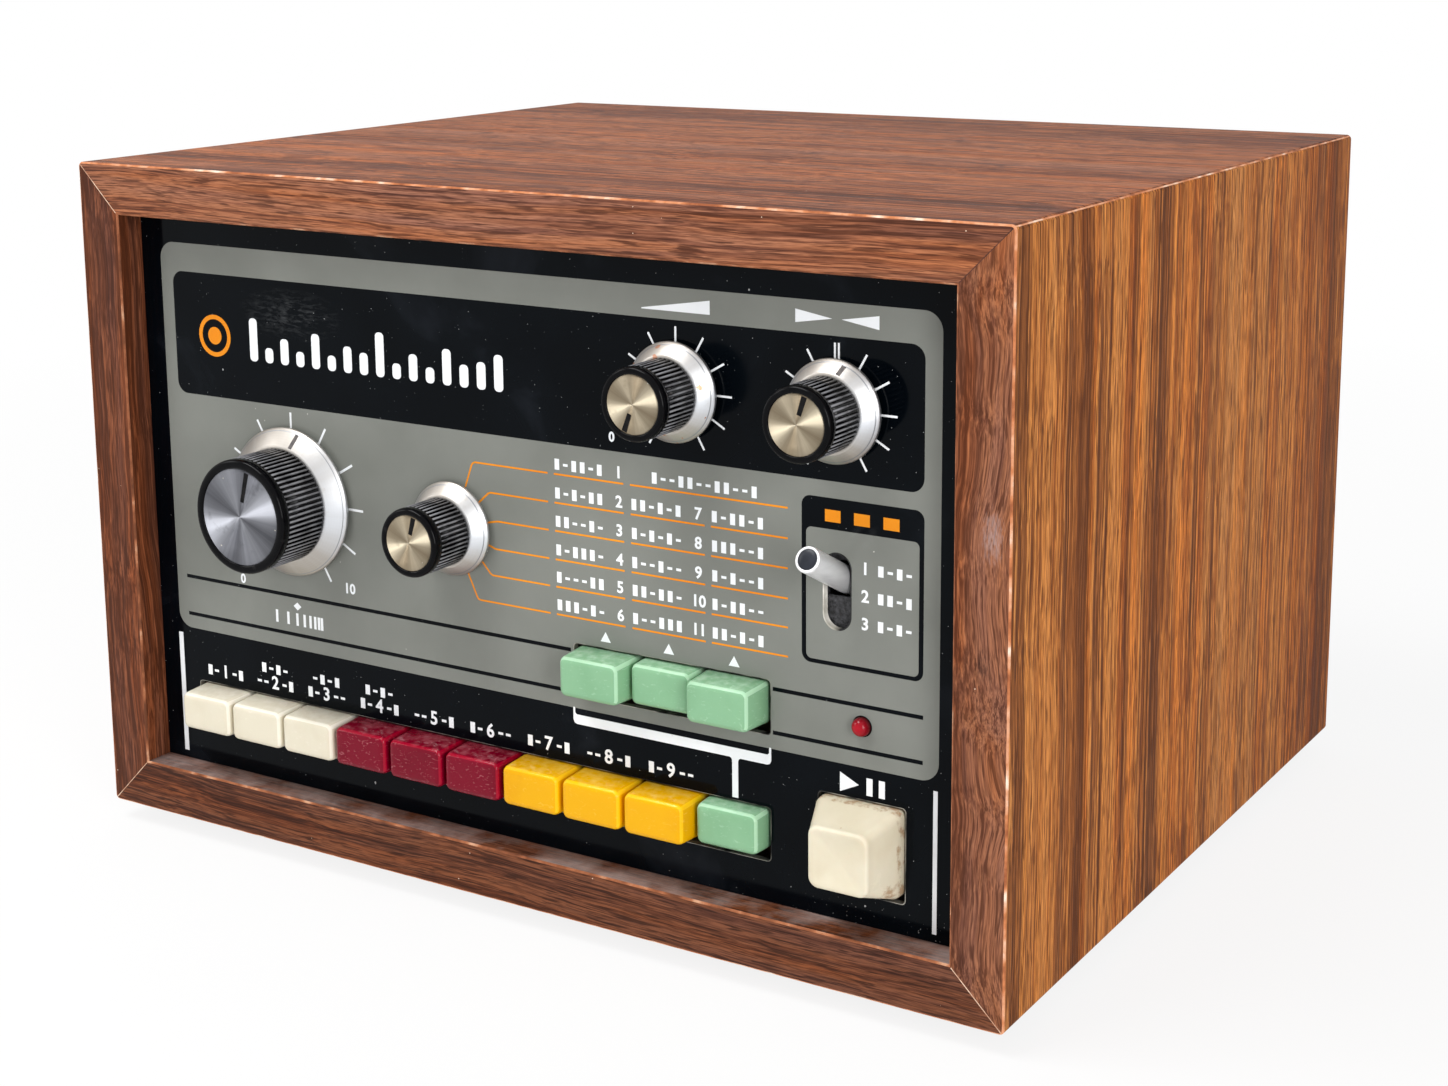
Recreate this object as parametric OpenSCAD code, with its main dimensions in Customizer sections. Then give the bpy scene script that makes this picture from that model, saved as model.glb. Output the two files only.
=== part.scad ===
// Table-top analogue drum machine in a mitred wooden cabinet.
// Millimetres. +X is to the right of a person facing the dials, +Y goes into the cabinet, +Z is up.
// The origin is the middle of the object's footprint, at the height that it stands on.

/* [Cabinet] */
// Width over the wooden cabinet
cabinet_w = 302; // [298:1:320]
// Depth of the wooden cabinet, front to back
cabinet_d = 252; // [240:1:300]
// Height of the wooden cabinet without its feet
cabinet_h = 198; // [196:1:210]
// Thickness of each mitred board
board_t = 15; // [14:0.5:16]
// Radius on the four long outer edges
edge_r = 1.5; // [1:0.5:5]
// How far the front panel lies behind the cabinet's front edge
panel_recess = 9; // [6:0.5:12]
// How far the rear panel lies inside the cabinet's back edge
rear_recess = 8; // [7:0.5:12]
// Height of the rubber feet
foot_h = 6; // [4:0.5:10]
// Radius of the rubber feet where they stand
foot_r = 9; // [7:0.5:12]

/* [Front panel] */
// Thickness of the aluminium front panel
panel_t = 2; // [1.5:0.5:3]
// Width of the grey printed field
field_w = 256.7; // [256:0.1:258]
// Gap between the cabinet's inner top face and the grey field
field_drop = 8.1; // [7:0.1:9]

/* [Keys] */
// Spacing of the keys in both rows
key_pitch = 20; // [20:0.1:20.5]
// Width of a key cap at its root
key_w = 19.6; // [18:0.1:19.6]
// Height of a key cap
key_h = 12.2; // [11:0.1:12.4]
// How far a released key stands out of the panel
key_proud = 9.6; // [9:0.1:10]
// How deep a latched key stays pushed in
key_latch = 4.4; // [3:0.1:4.6]
// How far a key travels, to just past its latch
key_travel = 5.5; // [5:0.1:5.6]
// Width of the start key at its root
start_w = 24; // [22:0.1:24.4]
// Height of the start key at its root
start_h = 23.2; // [22:0.1:24.4]
// Width of the start key's dished front
start_front_w = 17; // [14:0.5:20]
// How far the start key stands out of the panel
start_proud = 12.8; // [10:0.2:14]
// How far the start key travels
start_travel = 4; // [3:0.5:5]

/* [Dials] */
// Diameter of the large dial's skirt
tempo_skirt_d = 43.8; // [40:0.2:46]
// Height of the large dial over the panel
tempo_h = 22.8; // [20:0.2:26]
// Diameter of a small dial's skirt
dial_skirt_d = 26.5; // [24:0.1:28]
// Height of a small dial over the panel
dial_h = 20.4; // [18:0.2:22]
// Number of flutes round the large dial
tempo_flutes = 64; // [40:1:80]
// Number of flutes round a small dial
dial_flutes = 46; // [30:1:60]
// Direction of the large dial's pointer, clockwise from straight up
tempo_angle = 14; // [-150:1:150]
// Direction of the volume dial's pointer
volume_angle = -160; // [-160:1:150]
// Direction of the balance dial's pointer
balance_angle = 18; // [-150:1:150]
// Direction of the selector's pointer
selector_angle = 15; // [15:30:165]

/* [Toggle] */
// Tilt of the toggle lever at each end of its throw
toggle_tilt = 27; // [15:1:27]
// Diameter of the toggle lever
lever_d = 6.8; // [5:0.1:7]
// How far the raised lever stands out of the panel
lever_proud = 15.5; // [12:0.5:18]

/* [Hidden] */
$fn = 64;
eps = 0.01;

// Where the cabinet lies: the large dial is the foremost piece and the boards end last.
dial_reach = tempo_h - panel_recess;
front_y = (dial_reach - cabinet_d) / 2;
back_y = front_y + cabinet_d;
panel_y = front_y + panel_recess;
rear_panel_y = back_y - rear_recess;
base_z = foot_h;
top_z = foot_h + cabinet_h;
inside_w = cabinet_w - 2 * board_t;
inside_h = cabinet_h - 2 * board_t;
floor_z = base_z + board_t;
ceiling_z = top_z - board_t;

// The grey field's top left corner, from which the places on the panel are measured, right and down.
field_x = -field_w / 2;
field_z = ceiling_z - field_drop;
function panel_point(right, down) = [field_x + right, panel_y, field_z - down];

tempo_at = [48.5, 72.5];
volume_at = [180.9, 26.8];
balance_at = [227.9, 26.8];
selector_at = [107.5, 72.5];
toggle_at = [228.1, 73];
lamp_at = [235.3, 106.8];
start_at = [235.2, 138.3];
last_key_right = 197.9;
upper_row_down = 105.8;
lower_row_down = 140.3;
upper_keys = 3;
lower_keys = 10;
upper_latched = 2;
lower_latched = 10;

// Openings in the front panel, as centre and size.
upper_opening = [[last_key_right - key_pitch, 106.7], [3 * key_pitch + 1.8, 15]];
lower_opening = [[last_key_right - 4.5 * key_pitch, 141.2], [10 * key_pitch + 1.7, 15]];
start_opening = [[start_at[0], 138.9], [25.3, 25.7]];
toggle_slot = [8.2, 20.2];
opening_r = 1.2;
bush_r = 3.5;
bush_gap = 0.2;

shaft_r = 3;
shaft_gap = 0.05;
tempo_r = 16.4;
tempo_cap_r = 14;
dial_r = 9.5;
dial_cap_r = 7.75;
rim_z = [1.5, 2.5];
skirt_top = 6;
cap_t = 0.9;
cap_sink = 0.35;
pointer_w = 1;
bore_end = 5;
gold = "#cfc09a";
silver = "#c9cbd0";
wall_y = panel_y + 36;
sheet_t = 1.2;
tray_z = floor_z;
bank_front = 10.5;
bank_depth = 25.5;
stem = [6, 4.4];
stem_gap = 0.4;
pivot_depth = 8.5;
shutter_depth = 2.3;
shutter_t = 0.8;
jack_r = 3.2;
gland_r = 3.6;
rear_z = floor_z + 40;

// A rectangle with true round corners, centred.
module round_rect(size, r) {
    square([size[0] - 2 * r, size[1]], center = true);
    square([size[0], size[1] - 2 * r], center = true);
    for (sx = [-1, 1], sz = [-1, 1])
        translate([sx * (size[0] / 2 - r), sz * (size[1] / 2 - r)]) circle(r);
}

// Puts a piece that is drawn standing on a plan onto the panel, so that it points at the user.
module on_panel(at, depth = 0) {
    translate(panel_point(at[0], at[1]) + [0, depth, 0]) rotate([90, 0, 0]) children();
}

// ---------- cabinet ----------

// One board of the cabinet, cut at 45 degrees along both ends; side 0 is the right, 1 top, 2 left, 3 bottom.
module mitred_board(side) {
    tall = side % 2 == 0 ? cabinet_h : cabinet_w;
    reach = side % 2 == 0 ? cabinet_w / 2 : cabinet_h / 2;
    translate([0, back_y, base_z + cabinet_h / 2]) rotate([90, 0, 0])
        linear_extrude(cabinet_d) intersection() {
            round_rect([cabinet_w, cabinet_h], edge_r);
            rotate(side * 90) polygon([[reach, -tall / 2], [reach, tall / 2],
                [reach - board_t, tall / 2 - board_t], [reach - board_t, board_t - tall / 2]]);
        }
}

module top_board() color("#7a4527") mitred_board(1);
module bottom_board() color("#6d3c22") difference() {
    mitred_board(3);
    each_foot() cylinder(h = 14.2, r = 1.9);
}
module left_board() color("#74411f") mitred_board(2);
module right_board() color("#845023") mitred_board(0);

// Triangular glue blocks that run along the four inner corners, behind the front panel.
module corner_blocks() {
    leg = 16;
    length = rear_panel_y - wall_y - 12;
    color("#b98d5c") difference() {
        for (sx = [-1, 1], sz = [-1, 1])
            translate([sx * inside_w / 2, rear_panel_y, (floor_z + ceiling_z) / 2 + sz * inside_h / 2])
                rotate([90, 0, 0]) scale([-sx, -sz, 1]) linear_extrude(length)
                    polygon([[0, 0], [leg, 0], [0, leg]]);
        for (x = rear_screw_x, z = rear_screw_z)
            translate([x, rear_panel_y + 1, z]) rotate([90, 0, 0]) cylinder(h = 13, r = 1.6);
    }
}

// Rubber feet, turned to a slight cone, with a sunk hole for the screw.
foot_inset = [30, 32];
module each_foot() {
    for (sx = [-1, 1], sy = [0, 1])
        translate([sx * (cabinet_w / 2 - foot_inset[0]),
            sy == 0 ? front_y + foot_inset[1] : back_y - foot_inset[1], 0]) children();
}

module rubber_feet() {
    color("#161616") each_foot() rotate_extrude() polygon([[4, 0], [foot_r - 0.8, 0], [foot_r, 0.8],
        [foot_r + 1, foot_h], [2.2, foot_h], [2.2, 3], [4, 3]]);
}

rear_screw_x = [-inside_w / 2 + 5, inside_w / 2 - 5];
rear_screw_z = [floor_z + 5, ceiling_z - 5];
module case_screws() {
    head_r = 3.4;
    color("#9a9a98") {
        each_foot() translate([0, 0, 1.2]) {
            cylinder(h = 1.8, r = head_r);
            cylinder(h = 13, r = 1.9);
        }
        for (x = rear_screw_x, z = rear_screw_z)
            translate([x, rear_panel_y + sheet_t + 1.6, z]) rotate([90, 0, 0]) difference() {
                union() {
                    cylinder(h = 1.6, r = head_r);
                    cylinder(h = 12, r = 1.6);
                }
                for (a = [0, 90]) rotate(a) cube([4, 0.8, 1.6], center = true);
            }
    }
}

// ---------- panels ----------

// The printed aluminium front panel with its cut-outs.
module front_panel() {
    color("#15171b") translate([0, panel_y, (floor_z + ceiling_z) / 2]) rotate([90, 0, 0])
        translate([0, 0, -panel_t]) linear_extrude(panel_t) difference() {
            square([inside_w - 0.4, inside_h - 0.4], center = true);
            translate([field_x, field_z - (floor_z + ceiling_z) / 2]) {
                for (o = [upper_opening, lower_opening, start_opening])
                    translate([o[0][0], -o[0][1]]) round_rect(o[1], opening_r);
                for (at = [tempo_at, volume_at, balance_at, selector_at])
                    translate([at[0], -at[1]]) circle(bush_r + bush_gap);
                translate([toggle_at[0], -toggle_at[1]]) round_rect(toggle_slot, toggle_slot[0] / 2 - eps);
                translate([lamp_at[0], -lamp_at[1]]) circle(2.6);
            }
        }
}

// Rear sockets, as distance from the middle: two jacks, the fuse and the mains lead's gland.
jack_x = [62, 92];
fuse_x = -62;
gland_x = -98;
vent_count = 14;
module rear_panel() {
    color("#2b2b2c") translate([0, rear_panel_y + sheet_t, 0]) rotate([90, 0, 0])
        linear_extrude(sheet_t) difference() {
            translate([0, (floor_z + ceiling_z) / 2]) square([inside_w - 0.6, inside_h - 0.6], center = true);
            for (x = jack_x) translate([x, rear_z]) circle(4.9);
            translate([fuse_x, rear_z]) circle(6.2);
            translate([gland_x, rear_z]) circle(6.2);
            for (i = [0:vent_count - 1]) translate([(i - (vent_count - 1) / 2) * 9, ceiling_z - 48])
                round_rect([3.4, 34], 1.6);
            for (x = rear_screw_x, z = rear_screw_z) translate([x, z]) circle(1.8);
        }
}

// A jack socket: threaded bush and nut outside, plastic body inside, one bore for the plug.
jack_bore = 26;
module jack_socket() {
    difference() {
        union() {
            translate([0, 0, -24]) linear_extrude(24 - eps) round_rect([16, 14], 1);
            translate([0, 0, -1]) cylinder(h = 5.5, r = 4.7);
            translate([0, 0, sheet_t]) cylinder(h = 2.2, r = 6.6, $fn = 6);
        }
        translate([0, 0, 4.5 - jack_bore]) cylinder(h = jack_bore + 1, r = jack_r);
    }
}

module jack_sockets() {
    color("#8f9193") for (x = jack_x)
        translate([x, rear_panel_y, rear_z]) rotate([-90, 0, 0]) jack_socket();
}

module fuse_holder() {
    color("#1b1b1b") translate([fuse_x, rear_panel_y, rear_z]) rotate([-90, 0, 0]) difference() {
        union() {
            translate([0, 0, -30]) cylinder(h = 31, r = 6);
            translate([0, 0, sheet_t]) cylinder(h = 2, r = 8.5);
            translate([0, 0, sheet_t + 1]) cylinder(h = 4.4, r = 6);
        }
        translate([0, 0, sheet_t + 5.4]) cube([9, 1.4, 2.4], center = true);
    }
}

// The collar that the mains lead comes out of.
module cord_gland() {
    color("#1d1d1d") translate([gland_x, rear_panel_y, rear_z]) rotate([-90, 0, 0]) rotate_extrude()
        polygon([[gland_r, -8], [6, -8], [6, sheet_t], [8, sheet_t], [8, sheet_t + 2],
            [6.4, sheet_t + 4.6], [gland_r, sheet_t + 4.6]]);
}

// ---------- chassis and electronics ----------

// Folded steel tray with the wall that carries the switches.
tray_w = inside_w - 36;
module chassis_tray() {
    tray_back = rear_panel_y - 34;
    wall_h = 150;
    color("#a9abad") {
        translate([-tray_w / 2, wall_y, tray_z]) cube([tray_w, tray_back - wall_y, sheet_t]);
        translate([-tray_w / 2, wall_y, tray_z]) cube([tray_w, sheet_t, wall_h]);
        for (sx = [-1, 1]) translate([sx * (tray_w - sheet_t) / 2 - sheet_t / 2, wall_y, tray_z])
            cube([sheet_t, 60, 40]);
    }
}

// Pillars that hold the front panel off the chassis wall.
module panel_spacers() {
    color("#b8b9ba") for (right = [18, 238.5], down = [14, 121])
        on_panel([right, down], wall_y - panel_y) cylinder(h = wall_y - panel_y - panel_t, r = 3.5, $fn = 6);
}

logic_size = [150, 128, 1.6];
logic_at = [-108, wall_y + 14, tray_z + sheet_t + 10];
voice_size = [180, 1.6, 96];
voice_at = [-90, wall_y + 10, tray_z + 46];
transformer_at = [78, rear_panel_y - 76, tray_z + sheet_t];

module logic_board() color("#c9a25e") translate(logic_at) cube(logic_size);
module voice_board() color("#c9a25e") translate(voice_at) cube(voice_size);

module board_pillars() {
    color("#c8c8c8") {
        for (x = [6, logic_size[0] - 6], y = [6, logic_size[1] - 6])
            translate([logic_at[0] + x, logic_at[1] + y, tray_z + sheet_t])
                cylinder(h = logic_at[2] - tray_z - sheet_t, r = 3);
        for (x = [6, voice_size[0] - 6], z = [6, voice_size[2] - 6])
            translate([voice_at[0] + x, wall_y + sheet_t, voice_at[2] + z]) rotate([-90, 0, 0])
                cylinder(h = voice_at[1] - wall_y - sheet_t, r = 3);
    }
}

// Chips in rows and upright capacitors on the logic board, cans and coils on the voice board.
module board_components() {
    board_top = logic_at[2] + logic_size[2];
    color("#262626") for (col = [0:5], row = [0:3])
        translate([logic_at[0] + 12 + col * 22, logic_at[1] + 14 + row * 24, board_top]) cube([7, 19, 4]);
    color("#2d5d9e") for (col = [0:3])
        translate([logic_at[0] + 24 + col * 30, logic_at[1] + logic_size[1] - 12, board_top])
            cylinder(h = 16, r = 5);
    color("#b5482c") for (col = [0:5], row = [0:1])
        translate([voice_at[0] + 24 + col * 26, voice_at[1] + voice_size[1], voice_at[2] + 40 + row * 30])
            rotate([-90, 0, 0]) cylinder(h = 9, r = 4);
}

// Laminated core with its frame's feet, and the winding round its middle limb.
core = [52, 26, 44];
window = [9, 26];
module transformer_core() {
    color("#4b4c4e") translate(transformer_at) {
        difference() {
            translate([-core[0] / 2, 0, 2]) cube(core);
            for (sx = [-1, 1]) translate([sx * 13.5 - window[0] / 2, -1, 2 + (core[2] - window[1]) / 2])
                cube([window[0], core[1] + 2, window[1]]);
        }
        difference() {
            translate([-36, -2, 0]) cube([72, core[1] + 4, 2]);
            for (sx = [-1, 1]) translate([sx * 31, core[1] / 2, -1]) cylinder(h = 4, r = 2);
        }
    }
}

module transformer_coil() {
    half_limb = 13.5 - window[0] / 2;
    color("#d8b84f") translate(transformer_at + [0, core[1] / 2, 2 + core[2] / 2]) difference() {
        cube([2 * half_limb + 2 * window[0] - 0.4, core[1] + 18, window[1] - 0.4], center = true);
        cube([2 * half_limb, core[1], window[1]], center = true);
        for (sx = [-1, 1]) translate([sx * (half_limb + window[0] + 5), 0, 0])
            cube([10.2, core[1] + 0.2, window[1]], center = true);
    }
}

// ---------- switches behind the panel ----------

// A row of latching push switches: a folded steel channel with one plastic switch behind each key.
module key_bank(count, down) {
    width = count * key_pitch - 1;
    height = 13;
    body_d = bank_depth - sheet_t;
    middle = last_key_right - (count - 1) / 2 * key_pitch;
    color("#b3b5b8") on_panel([middle, down], bank_front) difference() {
        union() {
            translate([-width / 2, -height / 2, -sheet_t]) cube([width, height, sheet_t]);
            translate([-width / 2, -height / 2, -bank_depth]) cube([width, sheet_t, bank_depth]);
        }
        for (i = [0:count - 1]) translate([(i - (count - 1) / 2) * key_pitch, 0, -sheet_t / 2])
            cube([stem[0] + 2 * stem_gap, stem[1] + 2 * stem_gap, 2 * sheet_t], center = true);
    }
    color("#e6e2d6") for (i = [0:count - 1])
        on_panel([last_key_right - i * key_pitch, down], bank_front + sheet_t) difference() {
            translate([-6, -height / 2 + sheet_t, -body_d]) cube([12, height - sheet_t - 1, body_d]);
            translate([0, 0, -body_d / 2]) cube([stem[0] + 2 * stem_gap, stem[1] + 2 * stem_gap,
                body_d + 2], center = true);
        }
}

module upper_key_bank() key_bank(upper_keys, upper_row_down);
module lower_key_bank() key_bank(lower_keys, lower_row_down);

start_stem = 7;
module start_switch() {
    color("#31343a") on_panel(start_at, bank_front + 2) difference() {
        translate([-10, -10, 2 - bank_depth]) cube([20, 20, bank_depth - 2]);
        translate([0, 0, -9]) cube([start_stem + 1, start_stem + 1, 26], center = true);
    }
}

// The toggle switch's frame: a forked steel bracket and the contact block behind it.
fork_w = 13;
fork_t = 1.6;
module toggle_switch() {
    color("#9b9ea2") on_panel(toggle_at, 0) difference() {
        union() {
            for (sx = [-1, 1]) translate([sx * (fork_w / 2 + fork_t / 2) - fork_t / 2, -6, -26])
                cube([fork_t, 12, 22]);
            translate([-fork_w / 2 - fork_t, -6, -28]) cube([fork_w + 2 * fork_t, 12, 2]);
        }
        translate([0, 0, -pivot_depth]) rotate([0, 90, 0]) cylinder(h = 40, r = 1.55, center = true);
    }
    color("#6d2f1f") on_panel(toggle_at, 28) translate([-8, -9, -8 + eps]) cube([16, 18, 8]);
}

// A potentiometer with its threaded bush and nut; the shaft is a piece of its own.
module potentiometer(at, can_r, can_depth) {
    on_panel(at) difference() {
        union() {
            translate([0, 0, -panel_t - can_depth]) cylinder(h = can_depth - 0.3, r = can_r);
            translate([0, 0, -panel_t - 2]) cylinder(h = panel_t + 4.4, r = bush_r);
            cylinder(h = 2, r = 5.8, $fn = 6);
        }
        translate([0, 0, -panel_t - can_depth + 2]) cylinder(h = can_depth + 10, r = shaft_r + shaft_gap);
    }
}

module potentiometers() {
    color("#b0b2b4") {
        potentiometer(tempo_at, 12, 11);
        potentiometer(volume_at, 8.2, 10);
        potentiometer(balance_at, 8.2, 10);
    }
}

module selector_switch() {
    color("#8a6a3a") potentiometer(selector_at, 13, 9);
    color("#8a6a3a") for (deep = [20, 27]) on_panel(selector_at, deep) cylinder(h = 1.6, r = 14);
    color("#c5c6c8") for (sx = [-1, 1]) on_panel(selector_at, 27) translate([sx * 10, 0, 1.6])
        cylinder(h = 27 - 1.6 - panel_t - 9, r = 1.2);
}

// The red lamp: a flange behind the panel and a dome that looks out.
module lamp() {
    color("#c4121f") on_panel(lamp_at) {
        translate([0, 0, -panel_t - 1.4]) cylinder(h = 1.4, r = 3.2);
        translate([0, 0, -panel_t - eps]) cylinder(h = panel_t + 0.6, r = 2.5);
        translate([0, 0, 0.5]) intersection() {
            sphere(2.5);
            cylinder(h = 3, r = 3);
        }
    }
}

// ---------- dials ----------

// The fluted black barrel of a dial: a smooth front ring and flutes all the way back.
module dial_barrel(at, angle, r, cap_r, height, flutes) {
    flute_d = 0.5;
    ring_h = 2.8;
    length = height - ring_h - skirt_top;
    on_panel(at) rotate(-angle) color("#121214") difference() {
        union() {
            translate([0, 0, skirt_top]) linear_extrude(length + eps)
                polygon([for (i = [0:2 * flutes - 1]) (r + 0.3 - (i % 2) * flute_d)
                    * [cos(i * 180 / flutes), sin(i * 180 / flutes)]]);
            translate([0, 0, height - ring_h]) rotate_extrude()
                polygon([[0, 0], [r + 0.1, 0], [r + 0.1, 0.6 * ring_h], [r - 0.2, 0.85 * ring_h],
                    [r - 0.8, ring_h], [0, ring_h]]);
        }
        translate([0, 0, height - cap_sink - cap_t]) cylinder(h = 3, r = cap_r);
        translate([0, 0, skirt_top - 1]) cylinder(h = height - bore_end - skirt_top + 1, r = shaft_r);
    }
}

// The spun aluminium skirt: a thin shell with an upright rim that rises as a cone to the barrel's foot.
module dial_skirt(at, angle, skirt_r, r) {
    t = 0.9;
    color("#d5d7da") on_panel(at) rotate(-angle) rotate_extrude()
        polygon([[shaft_r + 0.4, skirt_top - t], [r, skirt_top - t], [skirt_r - t, rim_z[0]], [skirt_r, rim_z[0]],
            [skirt_r, rim_z[1]], [r + 0.4, skirt_top], [shaft_r + 0.4, skirt_top]]);
}

// The turned metal disc let into the front of a dial, with the groove of its pointer.
module dial_cap(at, angle, cap_r, height, tint) {
    on_panel(at) rotate(-angle) color(tint) translate([0, 0, height - cap_sink - cap_t]) difference() {
        cylinder(h = cap_t, r = cap_r);
        translate([-pointer_w / 2, 0.34 * cap_r, cap_t - 0.3]) cube([pointer_w, 0.6 * cap_r, 1]);
    }
}

module dial_shaft(at, height) {
    color("#a7a9ac") on_panel(at) translate([0, 0, -panel_t - 6])
        cylinder(h = height - bore_end + panel_t + 6, r = shaft_r);
}

module tempo_barrel() dial_barrel(tempo_at, tempo_angle, tempo_r, tempo_cap_r, tempo_h, tempo_flutes);
module tempo_skirt() dial_skirt(tempo_at, tempo_angle, tempo_skirt_d / 2, tempo_r);
module tempo_cap() dial_cap(tempo_at, tempo_angle, tempo_cap_r, tempo_h, silver);
module tempo_shaft() dial_shaft(tempo_at, tempo_h);
module volume_barrel() dial_barrel(volume_at, volume_angle, dial_r, dial_cap_r, dial_h, dial_flutes);
module volume_skirt() dial_skirt(volume_at, volume_angle, dial_skirt_d / 2, dial_r);
module volume_cap() dial_cap(volume_at, volume_angle, dial_cap_r, dial_h, gold);
module volume_shaft() dial_shaft(volume_at, dial_h);
module balance_barrel() dial_barrel(balance_at, balance_angle, dial_r, dial_cap_r, dial_h, dial_flutes);
module balance_skirt() dial_skirt(balance_at, balance_angle, dial_skirt_d / 2, dial_r);
module balance_cap() dial_cap(balance_at, balance_angle, dial_cap_r, dial_h, gold);
module balance_shaft() dial_shaft(balance_at, dial_h);
module selector_barrel() dial_barrel(selector_at, selector_angle, dial_r, dial_cap_r, dial_h, dial_flutes);
module selector_skirt() dial_skirt(selector_at, selector_angle, dial_skirt_d / 2, dial_r);
module selector_cap() dial_cap(selector_at, selector_angle, dial_cap_r, dial_h, gold);
module selector_shaft() dial_shaft(selector_at, dial_h);

// ---------- keys ----------

// A moulded key: a block that narrows a little to a rounded front, on a flat stem.
module key(at, proud, tint) {
    round_r = 1.2;
    draft = 0.55;
    root = 13.5;
    on_panel(at, -proud) color(tint) {
        hull() {
            for (sx = [-1, 1], sz = [-1, 1]) {
                translate([sx * (key_w / 2 - draft - round_r), sz * (key_h / 2 - draft - round_r), -round_r])
                    sphere(round_r, $fn = 16);
                translate([sx * (key_w / 2 - round_r), sz * (key_h / 2 - round_r), -root])
                    cylinder(h = 1, r = round_r, $fn = 16);
            }
        }
        translate([-stem[0] / 2, -stem[1] / 2, -root - 20]) cube([stem[0], stem[1], 20 + eps]);
    }
}

function upper_key_at(i) = [last_key_right - (upper_keys - i) * key_pitch, upper_row_down];
function lower_key_at(i) = [last_key_right - (lower_keys - i) * key_pitch, lower_row_down];
function lower_tint(i) = i <= 3 ? "#f1e9cf" : i <= 6 ? "#8e1234" : i <= 9 ? "#fcc01c" : "#93cfa6";

module upper_key(i) key(upper_key_at(i), key_proud - (i == upper_latched ? key_latch : 0), "#9bd6a8");
module lower_key(i) key(lower_key_at(i), key_proud - (i == lower_latched ? key_latch : 0), lower_tint(i));

// The large start key narrows strongly to a dished front.
module start_key() {
    round_r = 2;
    root = 16;
    half = [start_w / 2 - round_r, start_h / 2 - round_r];
    front_half = start_front_w / 2 - 1.4;
    dish_r = 34;
    on_panel(start_at, -start_proud) color("#f0e8d0") {
        difference() {
            hull() for (sx = [-1, 1], sz = [-1, 1]) {
                translate([sx * front_half, sz * front_half, -1.4]) sphere(1.4, $fn = 24);
                translate([sx * half[0], sz * half[1], 2.5 - start_proud]) sphere(round_r, $fn = 24);
                translate([sx * half[0], sz * half[1], -root]) cylinder(h = 1, r = round_r, $fn = 24);
            }
            translate([0, 0, dish_r - 1]) sphere(dish_r);
        }
        translate([-start_stem / 2, -start_stem / 2, -root - 14]) cube([start_stem, start_stem, 14 + eps]);
    }
}

// ---------- toggle ----------

// The bright lever on its cross pin, drawn upright and tilted to the raised end of its throw.
lever_reach = (pivot_depth + lever_proud) / cos(toggle_tilt) - 0.5;
module at_lever() {
    on_panel(toggle_at, pivot_depth) rotate([-toggle_tilt, 0, 0]) children();
}

module toggle_lever() {
    color("#c8cacc") at_lever() {
        difference() {
            translate([0, 0, -2]) cylinder(h = lever_reach + 2, r = lever_d / 2);
            translate([0, 0, lever_reach - 1.2]) cylinder(h = 2, r = 0.76 * lever_d / 2);
        }
        rotate([0, 90, 0]) cylinder(h = fork_w + 2 * fork_t, r = 1.5, center = true);
        translate([0, 0, -9]) cylinder(h = 8, r = 2);
    }
}

// The black insert in the lever's end.
module toggle_tip() {
    color("#1c1d24") at_lever() translate([0, 0, lever_reach - 1.2]) cylinder(h = 1, r = 0.75 * lever_d / 2);
}

// The black dust shutter that slides up and down behind the slot with the lever.
module toggle_shutter() {
    rise = (pivot_depth - shutter_depth - shutter_t / 2) * tan(toggle_tilt);
    color("#17171a") on_panel(toggle_at, shutter_depth + shutter_t) translate([0, rise, 0])
        linear_extrude(shutter_t) difference() {
            square([toggle_slot[0] + 3.4, toggle_slot[1] + 2 * rise + 2], center = true);
            square([lever_d + 0.8, lever_d + 2.6], center = true);
        }
}

top_board();
bottom_board();
left_board();
right_board();
corner_blocks();
front_panel();
rear_panel();
case_screws();
rubber_feet();
chassis_tray();
panel_spacers();
logic_board();
voice_board();
board_components();
board_pillars();
transformer_core();
transformer_coil();
jack_sockets();
fuse_holder();
cord_gland();
upper_key_bank();
lower_key_bank();
start_switch();
toggle_switch();
potentiometers();
selector_switch();
lamp();
tempo_barrel();
tempo_skirt();
tempo_cap();
tempo_shaft();
volume_barrel();
volume_skirt();
volume_cap();
volume_shaft();
balance_barrel();
balance_skirt();
balance_cap();
balance_shaft();
selector_barrel();
selector_skirt();
selector_cap();
selector_shaft();
upper_key(1);  // upper_key_1
upper_key(2);  // upper_key_2
upper_key(3);  // upper_key_3
lower_key(1);  // lower_key_1
lower_key(2);  // lower_key_2
lower_key(3);  // lower_key_3
lower_key(4);  // lower_key_4
lower_key(5);  // lower_key_5
lower_key(6);  // lower_key_6
lower_key(7);  // lower_key_7
lower_key(8);  // lower_key_8
lower_key(9);  // lower_key_9
lower_key(10);  // lower_key_10
start_key();
toggle_lever();
toggle_tip();
toggle_shutter();
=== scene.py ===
import math

import bmesh
import bpy
from mathutils import Matrix, Vector


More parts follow.
